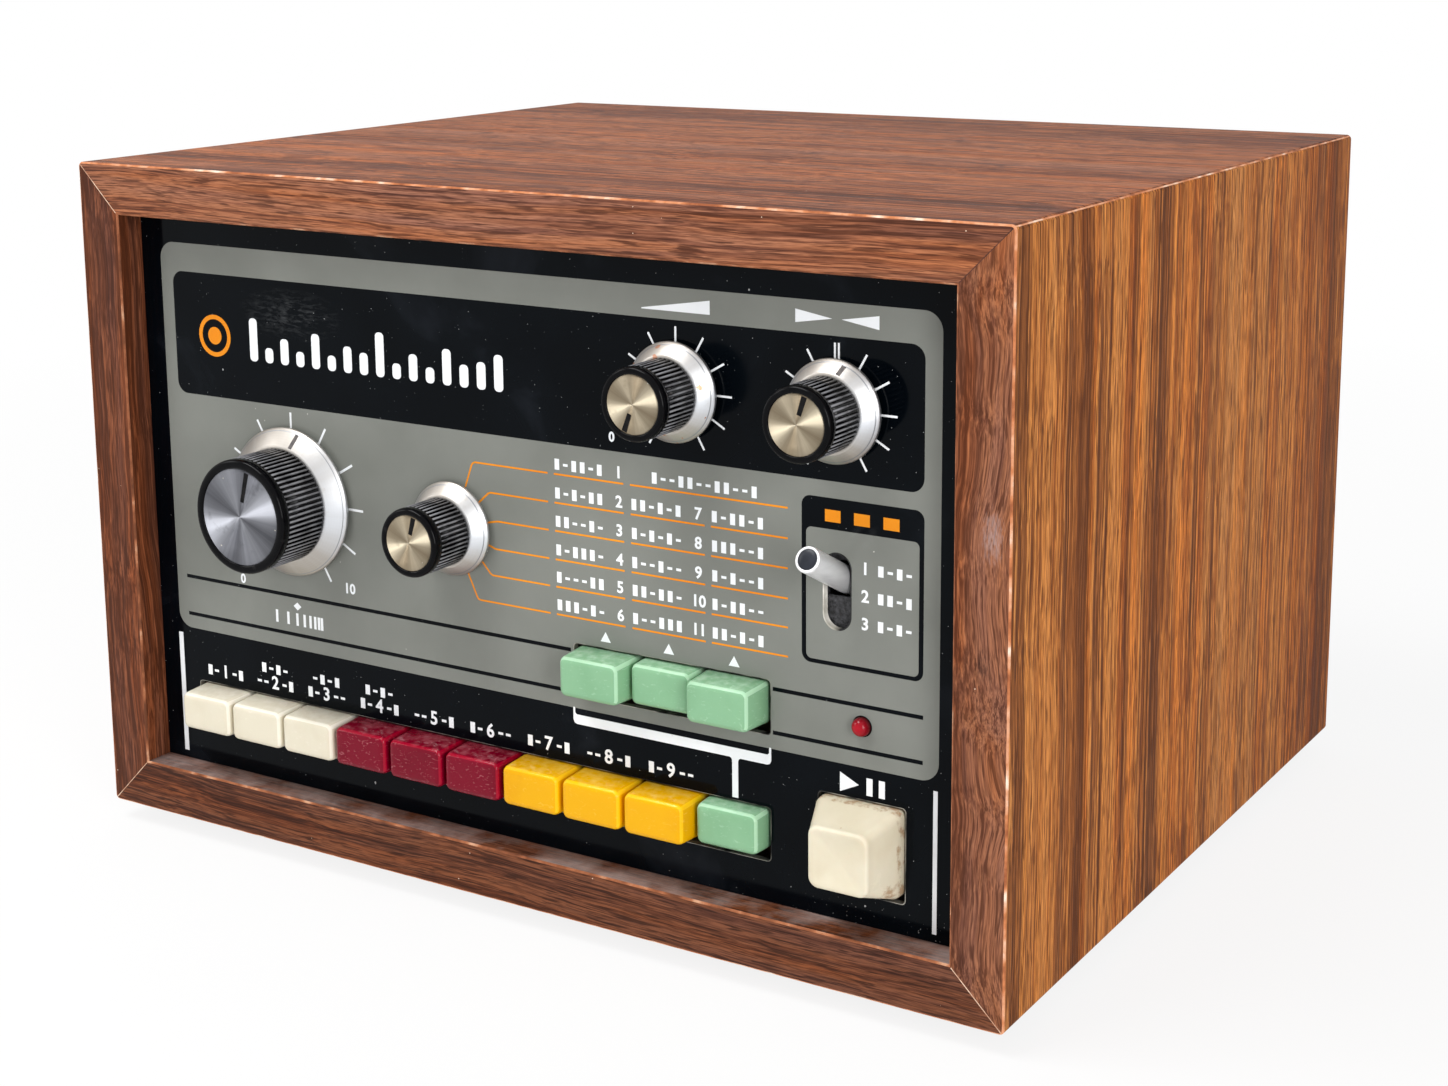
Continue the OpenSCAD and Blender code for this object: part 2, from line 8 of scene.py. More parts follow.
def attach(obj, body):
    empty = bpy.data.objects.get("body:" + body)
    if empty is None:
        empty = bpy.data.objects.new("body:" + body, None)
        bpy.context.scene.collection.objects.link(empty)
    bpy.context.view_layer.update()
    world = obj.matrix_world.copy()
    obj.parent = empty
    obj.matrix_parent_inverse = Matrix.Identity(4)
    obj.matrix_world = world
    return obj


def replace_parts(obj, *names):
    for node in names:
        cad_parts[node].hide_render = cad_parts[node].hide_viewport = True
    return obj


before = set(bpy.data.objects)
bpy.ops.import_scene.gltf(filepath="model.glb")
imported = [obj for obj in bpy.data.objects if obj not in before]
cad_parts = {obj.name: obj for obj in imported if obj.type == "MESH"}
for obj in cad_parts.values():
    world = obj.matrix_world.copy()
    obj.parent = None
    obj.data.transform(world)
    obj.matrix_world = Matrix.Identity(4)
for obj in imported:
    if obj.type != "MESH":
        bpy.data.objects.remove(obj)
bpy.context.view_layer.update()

# ---------------------------------------------------------------- the place it is photographed in
# A pale table top that runs out of sight, soft lamps overhead and at both sides, and a camera that stands
# to the right of the machine at about head height of someone who sits at it.
EYE_PLACE = (0.36801, -0.59248, 0.27164)
EYE_TURN, EYE_DIP, EYE_ROLL = 0.5578, 0.1879, -0.0077
TABLE_HALF = 6

scene = bpy.context.scene
scene.view_settings.view_transform = "Standard"
eye = bpy.data.cameras.new("eye")
eye.sensor_width = 36
eye.lens = 57.18
eye.shift_y = -0.1264
camera = bpy.data.objects.new("camera", eye)
camera.matrix_world = (Matrix.Translation(EYE_PLACE) @ Matrix.Rotation(EYE_TURN, 4, "Z")
                       @ Matrix.Rotation(math.pi / 2 - EYE_DIP, 4, "X") @ Matrix.Rotation(EYE_ROLL, 4, "Z"))
scene.collection.objects.link(camera)
scene.camera = camera


def srgb(*rgb):
    """A colour as it is seen, 0 to 255, as the linear light that a shader takes."""
    return tuple((c / 255 / 12.92 if c < 10.3 else ((c / 255 + 0.055) / 1.055) ** 2.4) for c in rgb) + (1,)


def grey(share):
    return (share, share, share, 1)


def add_node(tree, kind, wires=None, **settings):
    """One shader node. wires gives each input a number, a colour or the output that feeds it."""
    node = tree.nodes.new("ShaderNode" + kind)
    for key, value in settings.items():
        setattr(node, key, value)
    for key, value in (wires or {}).items():
        if isinstance(value, bpy.types.NodeSocket):
            tree.links.new(value, node.inputs[key])
        else:
            node.inputs[key].default_value = value
    return node


def calc(tree, how, *terms):
    """A sum, such as MULTIPLY, on numbers or on the outputs that give them."""
    return add_node(tree, "Math", dict(enumerate(terms)), operation=how).outputs[0]


def vector(tree, how, *terms):
    """The same on places, directions or colours."""
    node = add_node(tree, "VectorMath", dict(enumerate(terms)), operation=how)
    return node.outputs["Value" if how in ("LENGTH", "DOT_PRODUCT") else "Vector"]


def spread(tree, value, low, high, start=0.0, end=1.0):
    """Goes from low to high while value goes from start to end, and no further."""
    return add_node(tree, "MapRange", {"Value": value, "From Min": start, "From Max": end, "To Min": low,
                                       "To Max": high}).outputs[0]


def new_finish(name, constants):
    """A material whose shader has these constants. Returns it, its node tree, its shader and its coordinates."""
    material = bpy.data.materials.new(name)
    material.use_nodes = True
    tree = material.node_tree
    shader = tree.nodes["Principled BSDF"]
    for key, value in constants.items():
        shader.inputs[key].default_value = value
    return material, tree, shader, add_node(tree, "TexCoord").outputs["Object"]


def white_share(tree):
    """1 where a ray comes from the camera or off metal or through glass, and so should meet plain white."""
    rays = add_node(tree, "LightPath").outputs
    either = calc(tree, "MAXIMUM", rays["Is Camera Ray"], rays["Is Glossy Ray"])
    return calc(tree, "MAXIMUM", either, rays["Is Transmission Ray"])


table_top, tree, shader, coords = new_finish("table_top", {"Base Color": srgb(240, 240, 240), "Roughness": 0.6})
plain_white = add_node(tree, "Emission", {"Color": grey(1), "Strength": 1.0})
fade = spread(tree, vector(tree, "LENGTH", coords), 0.86, 1.0, 0.3, 0.9)
share = calc(tree, "MULTIPLY", white_share(tree), fade)
blend_in = add_node(tree, "MixShader", {0: share, 1: shader.outputs[0], 2: plain_white.outputs[0]})
tree.links.new(blend_in.outputs[0], tree.nodes["Material Output"].inputs["Surface"])
table_mesh = bpy.data.meshes.new("table")
table_mesh.from_pydata([(x * TABLE_HALF, y * TABLE_HALF, 0) for x, y in ((-1, -1), (1, -1), (1, 1), (-1, 1))], [],
                       [(0, 1, 2, 3)])
table_mesh.materials.append(table_top)
table = bpy.data.objects.new("table", table_mesh)
scene.collection.objects.link(table)

world = bpy.data.worlds.new("room")
scene.world = world
world.use_nodes = True
tree = world.node_tree
background = tree.nodes["Background"]
background.inputs["Color"].default_value = grey(1)
tree.links.new(spread(tree, white_share(tree), 0.44, 1.0), background.inputs["Strength"])

for name, place, aim, width, height, watts in (
        ("overhead", (-0.36, -0.5, 1.2), (0, 0, 0.1), 0.8, 0.4, 11),
        ("front_left", (-1.25, -0.8, 0.8), (0, 0, 0.12), 0.4, 0.5, 3),
        ("right_front", (1.1, -0.85, 0.42), (0, 0, 0.1), 0.35, 0.8, 9.5)):
    light = bpy.data.lights.new(name, "AREA")
    light.shape = "RECTANGLE"
    light.size, light.size_y = width, height
    light.energy = watts
    soft_lamp = bpy.data.objects.new(name, light)
    soft_lamp.location = place
    soft_lamp.rotation_euler = (Vector(aim) - Vector(place)).to_track_quat("-Z", "Y").to_euler()
    scene.collection.objects.link(soft_lamp)

# ---------------------------------------------------------------- cabinet boards
# Four chipboard boards under walnut veneer, mitred into a box. The veneer of the top and bottom runs across
# the machine and that of the sides runs upright. The front edges are banded, and worn along their arrises.
BOARD_T = 0.015
CABINET_W, CABINET_H = 0.302, 0.198
FRONT_Y, BACK_Y = -0.1191, 0.1329
FOOT_H = 0.006
EDGE_R, EDGE_STEPS = 0.0015, 5
ARRIS = 0.0005


def ramp(tree, fac, stops):
    """A colour ramp through (place, colour) stops."""
    node = add_node(tree, "ValToRGB", {"Fac": fac})
    bar = node.color_ramp
    while len(bar.elements) < len(stops):
        bar.elements.new(0.5)
    for element, (place, colour) in zip(bar.elements, stops):
        element.position = place
        element.color = colour
    return node.outputs["Color"]


def mask(tree, value, start, end, last=1.0, first=0.0):
    """A share that goes from first to last while value goes from start to end."""
    return ramp(tree, value, [(start, grey(first)), (end, grey(last))])


def mix(tree, share, under, over):
    """The colour under, with that share of the colour over laid on it."""
    node = tree.nodes.new("ShaderNodeMix")
    node.data_type = "RGBA"
    for socket, value in zip((node.inputs[0], node.inputs[6], node.inputs[7]), (share, under, over)):
        if isinstance(value, bpy.types.NodeSocket):
            tree.links.new(value, socket)
        else:
            socket.default_value = value
    return node.outputs[2]


def noise(tree, coords, scale, detail, **more):
    """Clouds of about scale to the metre."""
    return add_node(tree, "TexNoise", {"Vector": coords, "Scale": scale, "Detail": detail, **more}).outputs[0]


def drawn_out(tree, coords, per_metre, detail, lean=(0, 0, 0), shift=0.0, **more):
    """Streaks: clouds with another number to the metre along each axis."""
    lay = add_node(tree, "Mapping", {"Vector": coords, "Scale": per_metre, "Rotation": lean,
                                     "Location": (shift,) * 3}).outputs[0]
    return noise(tree, lay, 1.0, detail, **more)


def along_axis(tree, coords, axis):
    return add_node(tree, "SeparateXYZ", {"Vector": coords}).outputs[axis]


def distance(tree, coords, place, stretch):
    """How far a point is from place, with each axis stretched."""
    return vector(tree, "LENGTH", vector(tree, "MULTIPLY", vector(tree, "SUBTRACT", coords, place), stretch))


def settled(tree, patches, start, end, most):
    """The share of dust that lies in patches on what faces up."""
    up = along_axis(tree, add_node(tree, "NewGeometry").outputs["Normal"], "Z")
    return mask(tree, calc(tree, "MULTIPLY", up, patches), start, end, most)


def flecks(tree, coords, per_metre, size, share, seed=0.0):
    """Small scattered spots: 1 on a spot, 0 elsewhere. share is the part of the cells that hold one."""
    moved = add_node(tree, "Mapping", {"Vector": coords, "Location": (seed, seed * 0.7, seed * 1.3)}).outputs[0]
    cells = add_node(tree, "TexVoronoi", {"Vector": moved, "Scale": per_metre})
    ragged_size = calc(tree, "MULTIPLY", noise(tree, moved, per_metre * 5, 2), size * 2)
    inside = calc(tree, "LESS_THAN", cells.outputs["Distance"], ragged_size)
    pick = add_node(tree, "SeparateColor", {"Color": cells.outputs["Color"]}).outputs[0]
    return calc(tree, "MULTIPLY", inside, calc(tree, "LESS_THAN", pick, share))


def feed(tree, shader, **outputs):
    for key, output in outputs.items():
        tree.links.new(output, shader.inputs[key.replace("_", " ")])


def bumped(tree, shader, height, depth):
    """Raises the surface where height is white, depth metres high."""
    feed(tree, shader, Normal=add_node(tree, "Bump", {"Height": height, "Strength": 1.0,
                                                      "Distance": depth}).outputs[0])


def veneer(name, along, tones, gloss, rough=0.42, wander=0.006, dust=0.0, run=1.0, bands=0.24, marks=()):
    """Walnut: close lines, slow changes of tone, and short dark pores, all along one axis. gloss is how much the
    lacquer mirrors, wander how far the lines swerve in metres, dust how much lies on what faces up, run how long
    the lines are, bands how strong the slow changes are, and marks are scuffs on the front edge as
    (x, z, reach, strength, colour)."""
    dark, middle, light = (srgb(*tone) for tone in tones)
    finish, tree, shader, coords = new_finish(name, {"Specular IOR Level": gloss})
    drift = add_node(tree, "TexNoise", {"Vector": coords, "Scale": 12.0, "Detail": 2.5}).outputs["Color"]
    laid = vector(tree, "MULTIPLY_ADD", drift, (wander,) * 3, coords)

    def streaks(across, length, detail, roughness, shift):
        per_metre = [across] * 3
        per_metre["XYZ".index(along)] = length
        return drawn_out(tree, laid, per_metre, detail, shift=shift, Roughness=roughness)

    lines = streaks(560, 1.2 / run, 4, 0.75, 7.7)
    figure = calc(tree, "MULTIPLY_ADD", streaks(60, 1.6 / run, 2, 0.5, 3.1), bands, (0.24 - bands) / 2)
    for strands in (lines, streaks(1050, 9 / run, 3, 0.7, 5.3)):
        figure = calc(tree, "MULTIPLY_ADD", strands, 0.38, figure)
    wood = ramp(tree, figure, [(0.42, dark), (0.49, middle), (0.55, light), (0.61, middle)])
    pores = mask(tree, streaks(1600, 75, 2, 0.5, 1.9), 0.38, 0.45, 0.0, 1.0)
    wood = mix(tree, pores, wood, mix(tree, 0.8, wood, dark))
    fibres = mask(tree, streaks(3000, 140, 2, 0.6, 4.4), 0.38, 0.56, 0.0, 0.55)
    wood = mix(tree, fibres, wood, dark)
    # the stain took redder and greyer by turns
    stain = ramp(tree, streaks(150, 5 / run, 3, 0.6, 9.2), [(0.38, (1.1, 0.95, 0.76, 1)), (0.5, grey(1)),
                                                            (0.64, (0.9, 0.98, 1.2, 1))])
    wood = vector(tree, "MULTIPLY", wood, stain)
    wood = mix(tree, flecks(tree, coords, 240, 0.036, 0.2), wood, srgb(232, 206, 184))
    for x, z, reach, strength, colour in marks:
        near = spread(tree, distance(tree, coords, (x, FRONT_Y, z), (1, 0.3, 0.45)), 1.0, 0.0, 0.0, reach)
        broken = drawn_out(tree, coords, (2400, 400, 640), 4, (0, 0.35, 0))
        scuff = mask(tree, calc(tree, "MULTIPLY", near, broken), 0.24, 0.5, strength)
        wood = mix(tree, scuff, wood, srgb(*colour))
    if dust:
        lying = settled(tree, noise(tree, coords, 46, 7, Roughness=0.65), 0.4, 0.66, dust)
        wood = mix(tree, lying, wood, srgb(186, 172, 168))
    feed(tree, shader, Base_Color=wood, Roughness=spread(tree, lines, rough - 0.07, rough + 0.1, 0.3, 0.7))
    bumped(tree, shader, figure, 0.0004)
    return finish


def mottled(name, constants, scale, detail, stops, rough=None, depth=0.0, stretch=(1, 1, 1)):
    """A finish whose colour goes through stops in clouds. Its roughness goes with them, as spread says, and
    they stand depth metres high."""
    finish, tree, shader, coords = new_finish(name, constants)
    lay = add_node(tree, "Mapping", {"Vector": coords, "Scale": stretch}).outputs[0]
    clouds = noise(tree, lay, scale, detail)
    feed(tree, shader, Base_Color=ramp(tree, clouds, [(place, srgb(*colour)) for place, colour in stops]))
    if rough:
        feed(tree, shader, Roughness=spread(tree, clouds, *rough))
    if depth:
        bumped(tree, shader, clouds, depth)
    return finish


top_veneer = veneer("top_veneer", "X", [(62, 31, 17), (134, 77, 51), (196, 125, 84)], 0.012, 0.4, 0.012, run=3.0)
side_veneer = veneer("side_veneer", "Z", [(90, 46, 18), (165, 96, 45), (228, 149, 76)], 0.02, run=6.0, bands=0.32)
top_band = veneer("top_band", "X", [(76, 42, 29), (135, 83, 60), (174, 114, 82)], 0.12)
low_band = veneer("low_band", "X", [(50, 26, 17), (97, 55, 37), (130, 79, 53)], 0.1, dust=0.55)
left_band = veneer("left_band", "Z", [(76, 42, 28), (118, 68, 46), (150, 91, 63)], 0.08, wander=0.012)
right_band = veneer("right_band", "Z", [(82, 45, 29), (126, 76, 53), (166, 107, 74)], 0.08, wander=0.024,
                    marks=[(0.1462, 0.1300, 0.0060, 0.4, (188, 166, 162)),
                           (0.1440, 0.0985, 0.0040, 0.6, (34, 20, 22))])
# where handling has taken the stain off, from what is left of it to bare wood
handled = {"Roughness": 0.5, "Specular IOR Level": 0.1}
worn_arris = mottled("worn_arris", handled, 150, 6, [(0.34, (150, 86, 54)), (0.47, (200, 124, 80)),
                                                     (0.58, (224, 164, 128)), (0.68, (244, 220, 198))], depth=0.0001)
inner_arris = mottled("inner_arris", handled, 150, 6, [(0.34, (104, 62, 42)), (0.47, (138, 82, 54)),
                                                       (0.58, (172, 108, 74)), (0.68, (206, 158, 126))], depth=0.0001)


def skin(rings, n, first=0, joined=False):
    """The faces over rings of n corners each. The last ring joins the first, or else both ends are filled."""
    faces = [(k * n + i, k * n + (i + 1) % n, (k + 1) % rings * n + (i + 1) % n, (k + 1) % rings * n + i)
             for k in range(rings if joined else rings - 1) for i in range(n)]
    if not joined:
        faces += [tuple(range(n)), tuple(range((rings - 1) * n, rings * n))]
    return [tuple(first + i for i in face) for face in faces]


def mesh_piece(name, verts, faces, finishes, body, face_finish=None, smooth=True, merge=False):
    """A closed mesh in the machine's frame that rides on a body."""
    mesh = bpy.data.meshes.new(name)
    mesh.from_pydata(verts, [], faces)
    for finish in finishes:
        mesh.materials.append(finish)
    for i, polygon in enumerate(mesh.polygons):
        polygon.use_smooth = smooth
        if face_finish:
            polygon.material_index = face_finish[i]
    shape = bmesh.new()
    shape.from_mesh(mesh)
    if merge:
        bmesh.ops.remove_doubles(shape, verts=shape.verts, dist=1e-7)
        bmesh.ops.dissolve_degenerate(shape, edges=shape.edges, dist=1e-8)
    bmesh.ops.recalc_face_normals(shape, faces=shape.faces)
    shape.to_mesh(mesh)
    shape.free()
    piece = bpy.data.objects.new(name, mesh)
    scene.collection.objects.link(piece)
    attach(piece, body)
    return piece


def board(where, side, finishes):
    """side 0 is the right board, then the top, the left and the bottom, each with its mitres and arrises where the
    stain wore thin. The finishes are those of its face, its front band, and its outer and inner arrises."""
    half = (CABINET_H, CABINET_W)[side % 2] / 2
    reach = (CABINET_W, CABINET_H)[side % 2] / 2
    turn = math.pi / 2 * side

    def outline(inset):
        arc = [(half - EDGE_R + (EDGE_R - inset) * math.sin(a), reach - EDGE_R + (EDGE_R - inset) * math.cos(a))
               for a in [math.pi / 4 * k / EDGE_STEPS for k in range(EDGE_STEPS + 1)]]
        mitre = (half - BOARD_T + inset, reach - BOARD_T + inset)
        return [(-mitre[0], mitre[1])] + [(-a, o) for a, o in reversed(arc)] + arc + [mitre]

    rings = [(FRONT_Y, ARRIS), (FRONT_Y + 0.3 * ARRIS, 0.4 * ARRIS), (FRONT_Y + ARRIS, 0.0), (BACK_Y - ARRIS, 0.0),
             (BACK_Y, ARRIS)]
    verts = [(out * math.cos(turn) - along * math.sin(turn), y,
              out * math.sin(turn) + along * math.cos(turn) + FOOT_H + CABINET_H / 2)
             for y, inset in rings for along, out in outline(inset)]
    n = len(outline(0))
    arc_ends = (1, 1 + 2 * EDGE_STEPS)
    which = []
    for k in range(len(rings) - 1):
        on_arris = k != 2
        for i in range(n):
            if on_arris and i == n - 1:
                which.append(3)
            elif on_arris or i in arc_ends:
                which.append(2)
            else:
                which.append(0 if arc_ends[0] < i < arc_ends[1] else 1)
    piece = mesh_piece("walnut_" + where, verts, skin(len(rings), n), finishes, "cabinet", which + [1, 1],
                       smooth=False)
    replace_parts(piece, where + "_board")


for where, side, face, band in (("top", 1, top_veneer, top_band), ("bottom", 3, top_veneer, low_band),
                                ("left", 2, side_veneer, left_band), ("right", 0, side_veneer, right_band)):
    board(where, side, [face, band, worn_arris, inner_arris])

# ---------------------------------------------------------------- mitre joints
# At each front corner the two bandings meet under 45 degrees. The glue line shows as a hair of pale filler,
# and at the top right as a dark open joint.
GLUE_HALF_W, GLUE_PROUD, GLUE_DEPTH = 0.00011, 0.00003, 0.0004
GLUE_OUT, GLUE_IN = 0.0008, BOARD_T - 0.0006
filler = mottled("joint_filler", {"Roughness": 0.6}, 240, 3, [(0.4, (196, 148, 118)), (0.6, (236, 204, 176))])
open_joint = mottled("open_joint", {"Roughness": 0.9}, 240, 3, [(0.4, (40, 22, 15)), (0.6, (84, 46, 32))])
for sx, hand in ((-1, "left"), (1, "right")):
    for sz, level in ((-1, "low"), (1, "high")):
        outer, inner = (Vector((sx * (CABINET_W / 2 - inset), FRONT_Y - GLUE_PROUD,
                                sz * (CABINET_H / 2 - inset) + FOOT_H + CABINET_H / 2))
                        for inset in (GLUE_OUT, GLUE_IN))
        width = Vector((sx, 0, -sz)).normalized() * GLUE_HALF_W
        corners = [outer + width, inner + width, inner - width, outer - width]
        verts = corners + [corner + Vector((0, GLUE_DEPTH, 0)) for corner in corners]
        mesh_piece(f"mitre_line_{hand}_{level}", verts, skin(2, 4), [open_joint if sx + sz == 2 else filler],
                   "cabinet", smooth=False)

# ---------------------------------------------------------------- front panel
# A 2 mm aluminium plate, painted gloss black and set back in the box. Its cut-outs for the keys, the start
# key and the toggle were punched after painting, so a bright raw edge shows round each.
PANEL_Y = -0.1101
FIELD_LEFT, FIELD_TOP = -0.12835, 0.1809
EDGE_PROUD, EDGE_BACK, EDGE_GAP = 0.07, -1.9, 0.01


def coat(node, finish):
    """Gives a CAD node its finish."""
    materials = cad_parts[node].data.materials
    materials.clear()
    materials.append(finish)


gloss_black, tree, shader, coords = new_finish("gloss_black_paint", {"IOR": 1.16})
smudges = noise(tree, coords, 22, 5, Distortion=0.8)
paint = ramp(tree, smudges, [(0.4, srgb(2, 5, 9)), (0.6, srgb(4, 8, 13)), (0.74, srgb(22, 26, 32))])
# a wiped patch with the strokes of the cloth in it, at the upper left
wiped = spread(tree, distance(tree, coords, (FIELD_LEFT + 0.05, PANEL_Y, FIELD_TOP - 0.018), (0.6, 1, 1.5)),
               1.0, 0.0, 0.003, 0.012)
strokes = drawn_out(tree, coords, (260, 260, 900), 8, (0, 0.5, 0), Roughness=0.65, Distortion=0.5)
hazy = calc(tree, "MULTIPLY", wiped, spread(tree, strokes, 0.0, 0.5, 0.47, 0.76))
paint = mix(tree, hazy, paint, srgb(96, 98, 100))
# fine dust, coarse dust and lint, and what a brush left in the lower right corner
paint = mix(tree, flecks(tree, coords, 900, 0.07, 0.16, 8.0), paint, srgb(96, 98, 100))
dust = calc(tree, "MAXIMUM", flecks(tree, coords, 560, 0.055, 0.3, 2.0), flecks(tree, coords, 150, 0.05, 0.2, 5.0))
paint = mix(tree, dust, paint, srgb(156, 158, 158))
corner = spread(tree, distance(tree, coords, (0.128, PANEL_Y, 0.0195), (0.2, 1, 1)), 0.7, 0.0, 0.002, 0.011)
swept = calc(tree, "MULTIPLY", flecks(tree, coords, 800, 0.13, 0.6, 9.0), corner)
paint = mix(tree, swept, paint, srgb(150, 148, 146))
feed(tree, shader, Base_Color=paint, Roughness=spread(tree, smudges, 0.07, 0.22, 0.35, 0.75))
coat("front_panel", gloss_black)

raw_edge = mottled("raw_edge", {"Metallic": 0.6, "Roughness": 0.35}, 160, 3,
                   [(0.4, (52, 51, 48)), (0.62, (170, 166, 156))])
# the toggle's cut-out shows a bright burr at the lower left only; elsewhere its edge is painted dark as painted shade
bright_edge, tree, shader, coords = new_finish("bright_edge", {"IOR": 1.3, "Roughness": 0.4})
bright = ramp(tree, noise(tree, coords, 160, 3), [(0.35, srgb(176, 172, 160)), (0.6, srgb(236, 233, 224))])
burr_else_shade = calc(tree, "MULTIPLY", spread(tree, along_axis(tree, coords, "X"), 0.0, 1.0, 0.1005, 0.0985),
            spread(tree, along_axis(tree, coords, "Z"), 0.0, 1.0, 0.112, 0.108))
feed(tree, shader, Base_Color=mix(tree, burr_else_shade, srgb(40, 40, 40), bright))


def on_panel(u, v, proud=0.0):
    """A place on the panel: u right and v down from the grey field's corner, proud towards the user, in mm."""
    return Vector((FIELD_LEFT + u / 1000, PANEL_Y - proud / 1000, FIELD_TOP - v / 1000))


def rounded_rect(u0, v0, u1, v1, r, steps=6):
    """The outline of a rectangle with round corners, as (u, v) points in mm."""
    points = []
    for cu, cv, start in ((u1 - r, v0 + r, 0), (u1 - r, v1 - r, 90), (u0 + r, v1 - r, 180), (u0 + r, v0 + r, 270)):
        for k in range(steps + 1):
            a = math.radians(start + 90 * k / steps)
            points.append((cu + r * math.sin(a), cv - r * math.cos(a)))
    return points


OPENINGS = {"upper_keys": rounded_rect(147.0, 99.2, 208.8, 114.2, 1.2),
            "lower_keys": rounded_rect(7.05, 133.7, 208.75, 148.7, 1.2),
            "start": rounded_rect(222.55, 126.05, 247.85, 151.75, 1.2),
            "toggle": rounded_rect(224.0, 62.9, 232.2, 83.1, 4.09, 10)}

# a thin bright ring just inside each cut-out, as deep as the plate
for where, wall, finish in (("upper_keys", 0.15, raw_edge), ("lower_keys", 0.12, raw_edge), ("start", 0.2, raw_edge),
                            ("toggle", 0.3, bright_edge)):
    outline = OPENINGS[where]
    n = len(outline)
    mid_u, mid_v = sum(u for u, v in outline) / n, sum(v for u, v in outline) / n
    half_u, half_v = max(abs(u - mid_u) for u, v in outline), max(abs(v - mid_v) for u, v in outline)
    verts = []
    for inset, proud in ((EDGE_GAP, EDGE_PROUD), (wall, EDGE_PROUD), (wall, EDGE_BACK), (EDGE_GAP, EDGE_BACK)):
        ku, kv = 1 - inset / half_u, 1 - inset / half_v
        verts += [on_panel(mid_u + (u - mid_u) * ku, mid_v + (v - mid_v) * kv, proud) for u, v in outline]
    mesh_piece("cut_edge_" + where, verts, skin(4, n, joined=True), [finish], "cabinet", smooth=False)

# ---------------------------------------------------------------- screen printing
# The grey field, the white scales and numbers and the orange guide lines are screen printed on the panel.
# The marks are plain numbers, rows of beats on a grid and plain symbols.
INK_SUNK = 0.03
FIGURE_SHARE = 0.69     # how much of the type's size its figures are high


def ink(name, low, high, roughness):
    finish, tree, shader, coords = new_finish(name, {"IOR": 1.25})
    clouds = noise(tree, coords, 30, 6)
    colour = ramp(tree, clouds, [(0.35, srgb(*low)), (0.65, srgb(*high))])
    colour = mix(tree, flecks(tree, coords, 300, 0.05, 0.08, 9.0), colour, srgb(205, 203, 196))
    feed(tree, shader, Base_Color=colour,
         Roughness=spread(tree, clouds, roughness - 0.04, roughness + 0.06, 0.3, 0.7))
    bumped(tree, shader, noise(tree, coords, 2600, 2), 0.00001)
    return finish


grey_ink = ink("grey_ink", (120, 122, 116), (129, 131, 125), 0.2)
white_ink = ink("white_ink", (234, 237, 240), (248, 250, 252), 0.3)
orange_ink = ink("orange_ink", (226, 132, 18), (240, 150, 28), 0.3)


def printed(name, outlines, top, finish, figures=()):
    """Flat ink, top mm thick. outlines are loops in mm, and a loop inside another is a hole. figures are
    (digits, u, v of the middle, height in mm)."""
    half_t = (top + INK_SUNK) / 2000
    curve = bpy.data.curves.new(name, "CURVE")
    curve.dimensions = "2D"
    curve.fill_mode = "BOTH"
    curve.extrude = half_t
    for outline in outlines:
        line = curve.splines.new("POLY")
        line.points.add(len(outline) - 1)
        for point, (u, v) in zip(line.points, outline):
            point.co = (u / 1000, -v / 1000, 0, 1)
        line.use_cyclic_u = True
    drawn = [bpy.data.objects.new(name, curve)]
    for digits, u, v, height in figures:
        text = bpy.data.curves.new(name + "_text", "FONT")
        text.body = digits
        text.align_x, text.align_y = "CENTER", "CENTER"
        text.size = height / 1000 / FIGURE_SHARE
        text.extrude = half_t
        text.resolution_u = 3
        text.offset = 0.00012
        figure = bpy.data.objects.new(name + "_text", text)
        figure.location = (u / 1000, -v / 1000, 0)
        drawn.append(figure)
    for thing in drawn:
        scene.collection.objects.link(thing)
    bpy.context.view_layer.update()
    graph = bpy.context.evaluated_depsgraph_get()
    upright = Matrix(((1, 0, 0, FIELD_LEFT), (0, 0, -1, PANEL_Y - (top - INK_SUNK) / 2000), (0, 1, 0, FIELD_TOP),
                      (0, 0, 0, 1)))
    whole = bmesh.new()
    for thing in drawn:
        flat = bpy.data.meshes.new_from_object(thing.evaluated_get(graph))
        flat.transform(upright @ thing.matrix_world)
        whole.from_mesh(flat)
        bpy.data.meshes.remove(flat)
    bmesh.ops.remove_doubles(whole, verts=whole.verts, dist=1e-7)
    bmesh.ops.recalc_face_normals(whole, faces=whole.faces)
    mesh = bpy.data.meshes.new(name)
    whole.to_mesh(mesh)
    whole.free()
    for thing in drawn:
        bpy.data.objects.remove(thing)
    mesh.materials.clear()
    mesh.materials.append(finish)
    for polygon in mesh.polygons:
        polygon.material_index = 0
        polygon.use_smooth = False
    piece = bpy.data.objects.new(name, mesh)
    scene.collection.objects.link(piece)
    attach(piece, "cabinet")


def round_steps(n):
    """The sine and cosine of each of n steps round a circle."""
    return [(math.sin(2 * math.pi * k / n), math.cos(2 * math.pi * k / n)) for k in range(n)]


def circle(u, v, r):
    return [(u + r * s, v - r * c) for s, c in round_steps(40)]


def bar(u0, v0, u1, v1):
    return [(u0, v0), (u1, v0), (u1, v1), (u0, v1)]


def stroke(points, width):
    """The outline of a line of that width through the points."""
    left, right = [], []
    for i, (u, v) in enumerate(points):
        before = points[max(i - 1, 0)]
        after = points[min(i + 1, len(points) - 1)]
        way = Vector((after[0] - before[0], after[1] - before[1])).normalized()
        left.append((u - way.y * width / 2, v + way.x * width / 2))
        right.append((u + way.y * width / 2, v - way.x * width / 2))
    return left + right[::-1]


